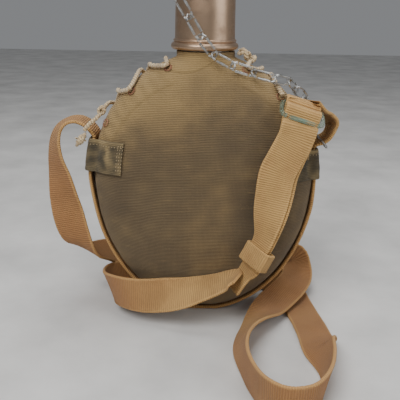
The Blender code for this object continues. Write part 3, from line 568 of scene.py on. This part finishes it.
# Free strap, in metres: it leaves the left keeper and ends inside the strap keeper at the front.
# Each row: a point of the middle line, the direction across, and a width where it is squeezed.
SLING_ROUTE = [
    ((-0.0884, 0.0, 0.1483), (0, 1, 0)),
    ((-0.0876, 0.0, 0.152), (0, 1, 0)),
    ((-0.091, 0.0, 0.157), (0, 1, 0)),
    ((-0.0955, 0.0, 0.161), (0, 1, 0)),
    ((-0.1025, 0.0, 0.1635), (0, 1, 0)),
    ((-0.111, -0.001, 0.162), (-0.1, 1, 0)),
    ((-0.118, -0.002, 0.1555), (-0.3, 0.95, 0)),
    ((-0.1215, -0.003, 0.145), (-0.45, 0.9, 0)),
    ((-0.1215, -0.004, 0.131), (-0.6, 0.8, 0)),
    ((-0.1185, -0.006, 0.1155), (-0.8, 0.6, 0)),
    ((-0.1155, -0.008, 0.098), (-0.93, 0.35, 0)),
    ((-0.112, -0.009, 0.083), (-0.98, 0.15, -0.05)),
    ((-0.1085, -0.009, 0.069), (-0.95, 0.2, -0.1)),
    ((-0.104, -0.006, 0.057), (-0.9, 0.35, 0.1)),
    ((-0.0985, 0.002, 0.0475), (-0.8, 0.5, 0.25)),
    ((-0.0925, 0.014, 0.041), (-0.75, 0.5, 0.35)),
    ((-0.085, 0.028, 0.0355), (-0.6, 0.55, 0.6)),
    ((-0.07, 0.044, 0.029), (-0.3, 0.6, 0.8)),
    ((-0.046, 0.054, 0.021), (0, 0.5, 0.9)),
    ((-0.014, 0.058, 0.015), (0, 0.4, 0.92)),
    ((0.021, 0.059, 0.014), (0, 0.4, 0.92)),
    ((0.053, 0.0575, 0.0155), (0.05, 0.45, 0.88)),
    ((0.076, 0.053, 0.0205), (0.25, 0.5, 0.82)),
    ((0.089, 0.048, 0.024), (0.5, 0.3, 0.8)),
    ((0.091, 0.038, 0.0195), (0.85, 0.1, 0.3)),
    ((0.089, 0.021, 0.0165), (0.93, -0.05, -0.1)),
    ((0.081, 0.003, 0.0155), (0.93, -0.1, -0.25)),
    ((0.0685, -0.014, 0.0125), (0.94, -0.17, -0.27)),
    ((0.0575, -0.03, 0.011), (0.95, 0.1, -0.05)),
    ((0.0465, -0.05, 0.01), (0.88, 0.07, 0.4)),
    ((0.037, -0.071, 0.0115), (0.6, -0.26, 0.75)),
    ((0.0325, -0.092, 0.0135), (0.34, -0.37, 0.86)),
    ((0.0325, -0.115, 0.014), (0.1, -0.3, 0.94)),
    ((0.036, -0.136, 0.014), (0.03, -0.2, 0.97)),
    ((0.0435, -0.154, 0.014), (0, -0.1, 0.99)),
    ((0.056, -0.165, 0.014), (0, 0, 1)),
    ((0.0705, -0.162, 0.014), (0.05, -0.05, 1)),
    ((0.081, -0.15, 0.014), (0.1, -0.1, 0.98)),
    ((0.087, -0.136, 0.0135), (0.2, -0.1, 0.97)),
    ((0.0915, -0.117, 0.0125), (0.25, -0.2, 0.93)),
    ((0.092, -0.098, 0.0095), (0.5, -0.15, 0.85)),
    ((0.0925, -0.08, 0.0045), (0.9, -0.1, 0.35)),
    ((0.093, -0.062, 0.0015), (1, 0.02, 0.03)),
    ((0.0915, -0.043, 0.0015), (1, 0.05, 0)),
    ((0.089, -0.025, 0.0015), (0.99, 0.1, 0)),
    ((0.0865, -0.006, 0.0015), (0.99, 0.1, 0)),
    ((0.083, 0.012, 0.002), (0.95, 0.25, 0.1)),
    ((0.0735, 0.026, 0.006), (0.7, 0.5, 0.5)),
    ((0.058, 0.0335, 0.011), (0.3, 0.4, 0.87)),
    ((0.038, 0.036, 0.014), (0.05, 0.1, 1)),
    ((0.012, 0.036, 0.0143), (0, 0, 1)),
    ((-0.018, 0.035, 0.0143), (0, 0, 1)),
    ((-0.046, 0.031, 0.0145), (-0.05, 0.1, 1)),
    ((-0.068, 0.0225, 0.015), (-0.2, 0.1, 0.97)),
    ((-0.0785, 0.009, 0.017), (-0.36, 0, 0.93)),
    ((-0.079, -0.009, 0.02), (-0.38, 0, 0.92)),
    ((-0.0735, -0.024, 0.0225), (-0.2, 0.05, 0.98)),
    ((-0.0615, -0.0345, 0.024), (-0.05, 0.1, 0.98)),
    ((-0.0465, -0.0405, 0.0253), (0, 0.25, 0.97)),
    ((-0.03, -0.044, 0.028), (-0.05, 0.5, 0.86)),
    ((-0.014, -0.0465, 0.0315), (-0.1, 0.78, 0.6)),
    ((0.0, -0.0475, 0.0358), (-0.12, 0.93, 0.35)),
    ((0.012, -0.048, 0.04), (-0.05, 0.95, 0.2)),
    ((0.0235, -0.049, 0.0455), (0.02, 0.99, 0.05)),
    ((0.0294, -0.053, 0.0492), (0.08, 0.98, -0.07), 16),
]
DOUBLED_ROUTE = [
    ((39.5, -47.8, 57), (-0.6, 0.72, 0.35), 19), ((44, -47.5, 65), (-0.62, 0.72, 0.3), 18),
    ((47.5, -47, 73), (-0.63, 0.72, 0.25), 18.5), ((50.3, -47, 81.5), (-0.66, 0.72, 0.22), 20.5),
    ((52.3, -46, 96), (-0.8, 0.55, 0.2), 25), ((54.2, -44, 111.5), (-0.93, 0.3, 0.18), 27),
    ((57, -42.5, 131), (-0.92, 0.1, 0.36), 28),
    ((62, -42.5, 143.5), (-0.92, 0, 0.39), 28), ((69, -43, 159), (-0.94, 0, 0.33), 28),
]
TAIL_END = [
    ((36.4, -43.4, 49.2), (-0.5, 0.75, 0.35), 16), ((31.6, -43.2, 41), (-0.42, 0.85, 0.25), 15),
    ((27.5, -44, 33), (-0.4, 0.88, 0.2), 14),
]
LAYER_OFFSET = WEBBING_THICKNESS / 2 + 0.4
SLIPPED = (0.0, 0.0, 0.0, 0.0, 1.0, 2.0, 2.6, 2.2, 1.0)


def doubled_layer(side):
    """One layer of the riser. Side 1 is the front layer and side -1 the one behind it."""
    points = [Vector(point) for point, _, _ in DOUBLED_ROUTE]
    rows = []
    for point, along, (_, across, width), slip in zip(points, tangents(points), DOUBLED_ROUTE, SLIPPED):
        across = Vector(across)
        out = along.cross(across - along * across.dot(along)).normalized()
        place = point + out * side * LAYER_OFFSET
        if side < 0:
            place = place - across.normalized() * slip
        rows.append((place, across, width))
    return rows


def slide_point(across, out):
    """A point above the middle of the slide: distance from the front bar, and height."""
    return SLIDE_ORIGIN + SLIDE_ACROSS * across + SLIDE_OUT * out


def riser_top_rows():
    """Under the front bar, in a loose fold over the middle bar and back under it."""
    side = -SLIDE_ALONG
    bar = SLIDE_BAR_SPACING
    places = [(-1.0, -3.6), (3.2, -3.6), (6.4, 1.0), (bar - 1.8, 4.4), (bar + 1.6, 4.0),
              (bar + 3.8, 0.8), (bar + 2.4, -3.2), (bar - 3.5, -6.0), (1.0, -6.4)]
    return [(slide_point(*place), side, WEBBING_WIDTH) for place in places]


RIGHT_LOOP_ROUTE = [
    ((89.5, 0, 142.3), (0, 1, 0)), ((89.3, 0, 146), (0, 1, 0)), ((91.8, 0, 148.6), (0, 1, 0)),
    ((96.8, 0.3, 150), (0, 1, 0)),
    ((101.8, 0.5, 153.5), (0, 1, 0)), ((104.2, 0.5, 159), (-0.05, 1, 0)),
    ((103.8, -0.5, 166), (-0.2, 0.95, 0.1)), ((100, -3.5, 172), (-0.45, 0.85, 0.2)),
    ((93, -8.5, 176.5), (-0.7, 0.62, 0.25)), ((85.5, -15.5, 180), (-0.88, 0.35, 0.28)),
]


def right_loop_top_rows():
    """Hooked over the far bar of the slide."""
    side = -SLIDE_ALONG
    bar = 2 * SLIDE_BAR_SPACING
    places = [(bar + 4.8, 3.4), (bar + 0.8, 4.3), (bar - 3.2, 2.6), (bar - 3.6, -1.4)]
    return [(slide_point(*place), side) for place in places]


STRAP_KEEPER_CENTRE = (44.2, -47.5, 65.0)
STRAP_KEEPER_ALONG = (0.44, 0.05, 0.9)
STRAP_KEEPER_ACROSS = (-0.62, 0.72, 0.3)


# ---------------------------------------------------------------- the cover

COVER_DARK = (0.052, 0.038, 0.025)
COVER_BASE = (0.132, 0.092, 0.048)
COVER_WORN = (0.370, 0.245, 0.100)
TAN = (0.600, 0.360, 0.125)
BROWN = (0.400, 0.190, 0.068)
COVER_SHIFT = 1.2


def near(value, middle, reach):
    return math.exp(-((value - middle) / reach) ** 2)


def collar_seam(x):
    """Height of the curved seam of the piece sewn on below the neck."""
    return 205.0 + 8.0 * ((x + 17.0) / 22.0) ** 2


def edge_distance(p):
    """Distance from a point of the cover to its outline above, as seen from the front."""
    x = max(-88.0, min(88.0, p.x))
    slope = UPPER_HEIGHT * x / HALF_WIDTH / math.sqrt(HALF_WIDTH ** 2 - x ** 2)
    return (ridge_height(x) - p.z) / math.sqrt(1 + slope * slope)


def cover_marks(p):
    """Wear and stain at a point of the cover."""
    rise = edge_distance(p) if p.z > 130.0 else 60.0
    width = body_section(min(p.z, 214.0))[0]
    edge = min(1.0, abs(p.x) / max(width, 1.0))
    slow = noise.noise(p * 0.022 + Vector((3.1, 0.4, 7.7)))
    quick = noise.noise(p * 0.09)
    wear = 0.02 + 0.80 * near(rise, 4.0, 16.0) + 0.30 * near(rise, 30.0, 22.0) * near(p.x, -18.0, 60.0)
    wear += 0.36 * near(edge, 1.0, 0.06) + 0.30 * near(p.x, 8.0, 22.0) * near(p.z, 82.0, 40.0)
    wear += 0.75 * near(p.z, 6.0, 22.0) * near(p.x, -30.0, 45.0)
    wear += 0.32 * near(p.x, -35.0, 36.0) * near(p.z, 178.0, 16.0)
    if p.z > collar_seam(p.x) and abs(p.x + 17.0) < 27.0 and p.y < 0.0:
        wear += 0.25
    wear += 0.30 * slow + 0.22 * quick
    stain = 0.45 * near(p.x, 12.0, 42.0) * near(p.z, 128.0, 42.0)
    stain += 0.5 * near(p.x, -64.0, 18.0) * near(p.z, 95.0, 34.0)
    stain += 0.42 * near(p.x, 52.0, 26.0) * near(p.z, 92.0, 36.0)
    stain += 0.35 * noise.noise(p * 0.035 + Vector((9.0, 2.0, 1.0)))
    return wear, stain


def cover_relief(p, side):
    """Height of folds, seams and puckers above the plain shape."""
    lift = 0.55 * noise.noise(p * 0.035) + 0.22 * noise.noise(p * 0.11)
    seam = p.z - collar_seam(p.x)
    if abs(p.x + 17.0) < 27.0 and side < 0:
        lift += 0.75 / (1 + math.exp(-seam / 0.35)) - 0.5 * near(seam, -0.6, 0.55)
    rise = edge_distance(p) if p.z > 130.0 else 60.0
    if abs(p.x) > 24.0:
        lift += 0.6 / (1 + math.exp((rise - 16.0) / 0.4)) - 0.4 * near(rise, 16.7, 0.6)
        lift += 0.45 * math.sin(p.x * 0.55 + p.z * 0.4) * near(rise, 8.0, 7.0)
    if rise < 2.5:
        lift -= 0.6 * near(rise, 0.0, 2.0)
    return lift


def make_cover(canvas):
    """Front and back of the cover as one closed skin, open at the collar, with a turned-in hem."""
    sides = 220
    rows = 170
    foot = FOOT_Z
    low = math.acos((MIDDLE_Z - foot) / LOWER_HEIGHT)
    high = math.asin((COLLAR_TOP_Z - 5.0 - MIDDLE_Z) / UPPER_HEIGHT)
    heights = [MIDDLE_Z - LOWER_HEIGHT * math.cos(low + (math.pi / 2 - low) * i / (rows // 2))
               for i in range(rows // 2)]
    heights += [MIDDLE_Z + UPPER_HEIGHT * math.sin(high * i / (rows // 2)) for i in range(rows // 2 + 1)]
    heights += [216.0, 217.0, 218.0, 219.0, 219.7]
    rings = []
    for z in heights:
        ring = []
        for j in range(sides):
            angle = math.tau * j / sides
            p = section_point(z, angle)
            width, depth, _ = body_section(z)
            out = Vector((p.x / width ** 2, p.y / depth ** 2, 0.0))
            out = out.normalized() if out.length > 0 else Vector((1.0, 0.0, 0.0))
            p = p + out * cover_relief(p, -1 if p.y < 0 else 1)
            if abs(p.y) < 1.0 and z > 140.0:
                p = p - out * 0.8 * (1.0 - abs(p.y))
            p.x += COVER_SHIFT
            p.z = max(p.z, 2.0)
            ring.append(p)
        rings.append(ring)
    for inset, z in ((0.7, COLLAR_TOP_Z), (1.4, COLLAR_TOP_Z - 0.5), (1.5, COLLAR_TOP_Z - 3.0), (1.6, 212.0)):
        ring = []
        for j in range(sides):
            p = section_point(z, math.tau * j / sides, inset)
            p.x += COVER_SHIFT * 0.5
            ring.append(p)
        rings.append(ring)
    item = build("cover", rings, canvas, "canteen", caps=False)
    mesh = item.data
    mesh.materials.clear()
    mesh.materials.append(canvas)
    marks = [cover_marks(v.co / MM - Vector((COVER_SHIFT, 0.0, 0.0))) for v in mesh.vertices]
    for name, index in (("wear", 0), ("stain", 1)):
        layer = mesh.attributes.new(name, "FLOAT", "POINT")
        layer.data.foreach_set("value", [pair[index] for pair in marks])
    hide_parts("cover_front", "cover_back")
    return item


def set_marks(item, wear, stain):
    mesh = item.data
    for name, rule in (("wear", wear), ("stain", stain)):
        layer = mesh.attributes.new(name, "FLOAT", "POINT")
        layer.data.foreach_set("value", [rule(v.co / MM) for v in mesh.vertices])


def stitch_row(name, points, material, length=1.5, gap=1.1, radius=0.28):
    """Short raised stitches along a line of points."""
    bm = bmesh.new()
    walked = 0.0
    for a, b in zip(points, points[1:]):
        walked += (b - a).length
        if walked < length + gap:
            continue
        walked = 0.0
        along = (b - a).normalized()
        centre = (a + b) / 2
        turn = along.to_track_quat("X", "Z").to_matrix().to_4x4()
        size = Matrix.Diagonal((length / 2 * MM, radius * MM, radius * MM, 1.0))
        bmesh.ops.create_icosphere(bm, subdivisions=1, radius=1.0,
                                   matrix=Matrix.Translation(centre * MM) @ turn @ size)
    mesh = bpy.data.meshes.new(name)
    bm.to_mesh(mesh)
    bm.free()
    mesh.shade_smooth()
    mesh.materials.append(material)
    item = bpy.data.objects.new(name, mesh)
    bpy.context.collection.objects.link(item)
    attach(item, "canteen")
    return item


def make_keeper(name, side, heights, canvas, thread):
    bottom, top = heights
    rows = 26
    rings = []
    for i in range(rows + 1):
        share = i / rows
        z = bottom + (top - bottom) * share
        outer = []
        inner = []
        for base, found in ((keeper_outline(z, 0.1), inner), (keeper_outline(z, KEEPER_THICKNESS), outer)):
            found.extend(smooth_path(base, 6))
        ring = []
        hem = 0.35 * near(share, 0.93, 0.05) - 0.25 * near(share, 0.85, 0.03) + 0.3 * near(share, 0.05, 0.05)
        for k, p in enumerate(outer):
            direction = Vector((p.x / 90.0 ** 2, p.y / 36.0 ** 2, 0.0)).normalized()
            q = p + direction * (hem + 0.3 * noise.noise(p * 0.16 + Vector((side, 0.0, 0.0))))
            ring.append(q)
        ring.extend(reversed(inner))
        ragged = 0.5 * noise.noise(Vector((z, side * 4.0, 0.0))) if i in (0, rows) else 0.0
        rings.append([Vector((side * p.x, p.y, p.z + ragged)) for p in ring])
    item = build(name + "_cloth", rings, canvas, "canteen")

    def worn(p):
        amount = 0.22 + 0.85 * near(p.z, top - 1.5, 1.6) + 0.5 * noise.noise(p * 0.18)
        if side < 0 and p.y < 0.0:
            ragged = 1.0 + 0.8 * noise.noise(p * 0.5)
            amount += (0.55 * near(p.x, -75.5, 2.4) + 0.6 * near(p.x, -66.0, 2.2)) * ragged
            amount += 0.5 * near(p.z, bottom + 1.0, 2.0) * near(p.x, -70.0, 8.0)
        return amount

    set_marks(item, worn, lambda p: 0.45 + 0.4 * noise.noise(p * 0.1))
    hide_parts(name)
    z = top - 4.0
    line = [Vector((side * p.x, p.y, z)) for p in smooth_path(keeper_outline(z, KEEPER_THICKNESS + 0.25), 40)]
    row = stitch_row(name + "_stitches", line, thread)
    if side < 0:
        bars = []
        for k in range(3):
            angle = KEEPER_REACH + 0.03 + 0.035 * k
            column = []
            for i in range(60):
                height = bottom + 1.5 + (top - bottom - 3.0) * i / 59
                width, depth, _ = body_section(height)
                out = Vector((math.cos(angle) / width, math.sin(angle) / depth, 0.0)).normalized()
                p = section_point(height, angle - 0.1) + out * (0.6 + KEEPER_THICKNESS + 0.3)
                column.append(Vector((-p.x, -p.y, height)))
            bars.append(column)
        for k, column in enumerate(bars):
            seam = stitch_row(f"{name}_edge_stitches_{k + 1}", column, thread, 1.3, 1.4, 0.25)
    return item


# ---------------------------------------------------------------- lacing

def make_knot(name, centre, size, lean, lace):
    """A lump of turns of cord with frayed ends, leaning along a slope."""
    middle = Vector(centre)
    turns = []
    for i in range(54):
        around = i * 0.66
        share = math.sin(i * 0.21)
        x = share * size[0]
        turns.append(middle + Vector((x + math.cos(around) * 1.2, math.sin(around) * size[1] * 0.55,
                                      x * lean + math.cos(around) * size[2] * 0.55)))
    item = round_cord(name + "_turns", turns, 1.3, lace, sides=8, step=0.8)
    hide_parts(name)
    for k in range(9):
        around = k * 0.7 + 0.4
        way = 1 if k % 2 else -1
        start = middle + Vector((way * size[0] * 0.7, 0.0, way * size[0] * 0.7 * lean))
        reach = Vector((way * (2.0 + 0.5 * (k % 3)), math.sin(around) * 2.2, math.cos(around) * 2.6))
        bend = reach.cross(Vector((0.0, 0.0, 1.0))) * 0.3
        end = round_cord(f"{name}_fray_{k + 1}", [start, start + reach * 0.5 + bend, start + reach], 0.45, lace,
                         sides=5, step=0.8)
    return item


def make_hitch(name, centre, lace):
    """A small overhand hitch in the lace."""
    turns = []
    for i in range(22):
        around = i * 0.75
        turns.append(Vector(centre) + Vector((math.cos(around) * 2.2 + i * 0.08 - 0.9, math.sin(around * 0.5) * 1.6,
                                              math.sin(around) * 2.4 + i * 0.1 - 1.0)))
    return round_cord(name, turns, 1.2, lace, sides=8, step=0.8)


def make_lacing(lace):
    left = [(FRONT_EYELETS[0], -1), (BACK_EYELETS[0], 1), (FRONT_EYELETS[1], -1), (BACK_EYELETS[1], 1)]
    right = [(FRONT_EYELETS[3], -1), (BACK_EYELETS[3], 1), (FRONT_EYELETS[4], -1)]
    for name, route in (("lace_left", lace_route(LACE_LEFT_START, left, LACE_LEFT_END)),
                        ("lace_right", lace_route(LACE_RIGHT_START, right, LACE_RIGHT_END))):
        item = round_cord(name + "_cord", route, LACE_RADIUS, lace)
        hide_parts(name)
    left_knot, right_knot = LACE_KNOTS
    make_knot(left_knot[0], left_knot[1], (2.2, 4.6, 6.2), 0.6, lace)
    make_knot(right_knot[0], right_knot[1], (5.2, 4.4, 3.6), -0.62, lace)
    hitch = make_hitch("lace_hitch_left", (-81.5, -9.5, 172.0), lace)


# ---------------------------------------------------------------- cap

def make_cap(copper):
    """Spun cap with a rolled rim, very slightly dented."""
    inner = CAP_RADIUS - CAP_WALL
    under = CAP_TOP_Z - CAP_WALL
    outside = [
        (inner, RIM_Z + 1.2), (inner + 0.3, RIM_Z + 0.5), (CAP_RADIUS + 0.3, RIM_Z), (CAP_RADIUS + 1.8, RIM_Z + 0.4),
        (CAP_RADIUS + 2.9, RIM_Z + 2.0), (CAP_RADIUS + 2.8, RIM_Z + 3.8), (CAP_RADIUS + 1.6, RIM_Z + 5.2),
        (CAP_RADIUS + 0.6, RIM_Z + 5.8), (CAP_RADIUS + 1.1, RIM_Z + 6.5), (CAP_RADIUS + 1.1, RIM_Z + 7.4),
        (CAP_RADIUS + 0.3, RIM_Z + 8.2), (CAP_RADIUS, RIM_Z + 10.0), (23.2, 250.0), (22.9, 268.0),
        (CAP_TOP_RADIUS, CAP_TOP_Z - 6.0), (CAP_TOP_RADIUS - 0.8, CAP_TOP_Z - 2.8),
        (CAP_TOP_RADIUS - 2.8, CAP_TOP_Z - 0.8), (CAP_TOP_RADIUS - 6.0, CAP_TOP_Z), (10.0, CAP_TOP_Z),
        (RIVET_HOLE_RADIUS, CAP_TOP_Z),
    ]
    inside = [
        (RIVET_HOLE_RADIUS, under), (CAP_TOP_RADIUS - 6.3, under), (CAP_TOP_RADIUS - 3.4, under - 0.8),
        (CAP_TOP_RADIUS - 1.7, under - 2.6), (CAP_TOP_RADIUS - CAP_WALL, under - 5.4), (inner, 250.0),
    ]
    fine = smooth_path([Vector((r, z, 0.0)) for r, z in outside], 5)
    profile = [(p.x, p.y) for p in fine] + inside
    sides = 128
    rings = []
    for r, z in profile:
        ring = []
        for j in range(sides):
            a = math.tau * j / sides
            dent = 0.0
            if z > RIM_Z + 9.0:
                dent = 0.10 * noise.noise(Vector((math.cos(a) * 2.0, math.sin(a) * 2.0, z * 0.06)))
                dent -= 0.35 * near(a, 4.55, 0.30) * near(z, 244.0, 7.0)
                dent -= 0.25 * near(a, 5.1, 0.2) * near(z, 262.0, 6.0)
            ring.append(Vector(((r + dent) * math.cos(a), (r + dent) * math.sin(a), z)))
        rings.append(ring)
    item = build("cap", rings, copper, "cap", closed=True)
    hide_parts("cap_shell")


# ---------------------------------------------------------------- webbing

def sling_tone(p):
    """1 where the webbing is light tan, 0 where it is browner."""
    tone = 0.0
    tone += near(p.y, -50.0, 26.0) * near(p.z, 35.0, 40.0) * near(p.x, 5.0, 55.0)
    tone += 0.35 * near(p.z, 160.0, 20.0)
    return max(0.0, min(1.0, tone + 0.25 * noise.noise(p * 0.03)))


def make_sling(webbing):
    rows = [(Vector(row[0]) / MM, *row[1:]) for row in SLING_ROUTE]
    piece, middle = strap("free_strap", rows, webbing, tone=sling_tone)
    length = sum((b - a).length for a, b in zip(middle, middle[1:]))
    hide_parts("sling_strap")
    tuple(middle[0])
    [tuple(p) for p in middle]
    print("sling length", round(length, 4))


def make_edge_band(webbing):
    """The stretch of webbing held close round the edge and under the foot."""
    off = GAP + WEBBING_THICKNESS / 2
    left = math.asin((BAND_TOP_LEFT_Z - MIDDLE_Z) / UPPER_HEIGHT)
    right = math.asin((BAND_TOP_RIGHT_Z - MIDDLE_Z) / UPPER_HEIGHT)
    steps = 60
    rows = []
    for i in range(steps + 1):
        angle = math.pi - left + (math.pi + left + right) * i / steps
        c = math.cos(angle)
        s = math.sin(angle)
        height = UPPER_HEIGHT if s > 0 else LOWER_HEIGHT
        outward = Vector((c / HALF_WIDTH, 0.0, s / height)).normalized()
        point = Vector((HALF_WIDTH * c, 0.0, MIDDLE_Z + height * s)) + outward * off
        point.x += COVER_SHIFT * min(1.0, max(0.0, (118.0 - point.z) / 25.0))
        point.z = max(point.z, WEBBING_THICKNESS / 2 + 0.1)
        rows.append((point, (0, 1, 0)))
    piece, _ = strap("edge_band", rows, webbing, tone=lambda p: 0.25 + 0.3 * noise.noise(p * 0.05))
    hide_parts("sling_edge_band")


def make_riser(webbing):
    rows = [*doubled_layer(1), *riser_top_rows(), *reversed(doubled_layer(-1)), *TAIL_END]
    piece, _ = strap("riser", rows, webbing, step=1.2, ragged=True,
                     tone=lambda p: 0.95 + 0.3 * noise.noise(p * 0.06))
    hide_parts("sling_riser")


def make_right_loop(webbing):
    piece, _ = strap("right_loop", RIGHT_LOOP_ROUTE + right_loop_top_rows(), webbing, step=1.2,
                     tone=lambda p: 0.7 + 0.4 * noise.noise(p * 0.06))
    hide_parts("sling_right_loop")


def make_strap_keeper(webbing):
    """A sewn loop of webbing with rounded edges round both layers of the strap."""
    centre = Vector(STRAP_KEEPER_CENTRE)
    along = Vector(STRAP_KEEPER_ALONG).normalized()
    side = Vector(STRAP_KEEPER_ACROSS)
    side = (side - along * side.dot(along)).normalized()
    out = along.cross(side)
    wall = 2.0
    height = 16.0
    loop = []
    corners = ((-1, -1), (1, -1), (1, 1), (-1, 1))
    for sx, sy in corners:
        corner = side * sx * 9.4 + out * sy * 2.9
        for i in range(9):
            angle = math.atan2(sy, sx) + math.radians((i - 4) * 11)
            loop.append((corner, side * math.cos(angle) + out * math.sin(angle)))
    dense = []
    for (a, da), (b, db) in zip(loop, loop[1:] + loop[:1]):
        count = max(1, int((b - a).length / 1.5))
        for k in range(count):
            t = k / count
            dense.append((a.lerp(b, t), da.lerp(db, t).normalized()))
    outline = strap_section(height, wall)
    rings = []
    walked = [0.0]
    previous = None
    for base, direction in dense:
        ring = []
        point = centre + base + direction * (1.0 + wall / 2)
        if previous is not None:
            walked.append(walked[-1] + (point - previous).length)
        previous = point
        for x, y in outline:
            place = point + along * x + direction * y
            ring.append(place + wobble(place, 0.12, 0.15))
        rings.append(ring)
    walked.append(walked[-1] + 1.5)
    shares = [x / height + 0.5 for x, _ in outline]
    shares.append(shares[0])
    piece = build("strap_keeper_loop", rings, webbing, "strap_keeper", closed=True,
                  uvs=lambda a, b: (shares[b], walked[a] * MM), tone=lambda p: 0.95 + 0.3 * noise.noise(p * 0.08))
    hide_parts("strap_keeper")


# ---------------------------------------------------------------- kept CAD nodes

def paint(names, material, smooth=0, swell=0.0):
    for name in names:
        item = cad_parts[name]
        item.data.materials.clear()
        item.data.materials.append(material)
        if smooth:
            soften = item.modifiers.new("soften", "SUBSURF")
            soften.levels = smooth
            soften.render_levels = smooth
        if swell:
            thicken = item.modifiers.new("thicken", "DISPLACE")
            thicken.direction = "NORMAL"
            thicken.mid_level = 0.0
            thicken.strength = swell * MM


def make_floor():
    bpy.ops.mesh.primitive_plane_add(size=6.0, location=(0.0, 0.0, -0.0001))
    floor = bpy.context.object
    floor.name = "floor"
    floor.data.materials.append(plain_material("floor_paper", (0.72, 0.71, 0.69), 0.9, 12.0))


def main():
    make_camera()
    webbing = webbing_material("webbing_cloth", TAN, BROWN)
    make_sling(webbing)
    make_studio()
    make_floor()
    canvas = canvas_material("canvas_cloth", COVER_BASE, COVER_WORN, COVER_DARK)
    olive = canvas_material("keeper_cloth", (0.075, 0.060, 0.034), (0.36, 0.26, 0.12), (0.04, 0.032, 0.02))
    lace = cord_material("lace_cotton", (0.74, 0.58, 0.34), (0.34, 0.22, 0.11))
    thread = cord_material("thread", (0.60, 0.46, 0.26), (0.30, 0.20, 0.10))
    copper = metal_material("spun_copper", (0.54, 0.38, 0.26), (0.24, 0.15, 0.10), 0.34, True, 0.6)
    steel = metal_material("zinc_steel", (0.62, 0.63, 0.62), (0.16, 0.15, 0.14), 0.30, False, 0.7)
    green = metal_material("green_brass", (0.22, 0.29, 0.21), (0.10, 0.13, 0.09), 0.62, False, 0.7, 0.2)
    brass = metal_material("rusty_brass", (0.42, 0.20, 0.12), (0.16, 0.07, 0.04), 0.6, False, 0.7, 0.6)
    tin = metal_material("flask_metal", (0.62, 0.62, 0.60), (0.35, 0.35, 0.34), 0.4)
    cork = plain_material("cork_grain", (0.55, 0.36, 0.20), 0.9, 160.0)
    make_edge_band(webbing)
    make_riser(webbing)
    make_right_loop(webbing)
    make_strap_keeper(webbing)
    make_cover(canvas)
    make_keeper("cover_keeper_left", -1, KEEPER_LEFT_Z, olive, thread)
    make_keeper("cover_keeper_right", 1, KEEPER_RIGHT_Z, olive, thread)
    make_lacing(lace)
    make_cap(copper)
    names = list(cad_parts)
    paint([n for n in names if n.startswith("chain_")], steel, 2)
    paint([n for n in names if n.startswith("eyelet_")], brass, 1)
    paint(["swivel_eye", "swivel_rivet", "plug_washer"], steel)
    paint(["strap_slide"], green, 2, 0.25)
    paint(["flask_front_shell", "flask_back_shell", "flask_neck"], tin)
    paint(["cork_plug"], cork)


main()
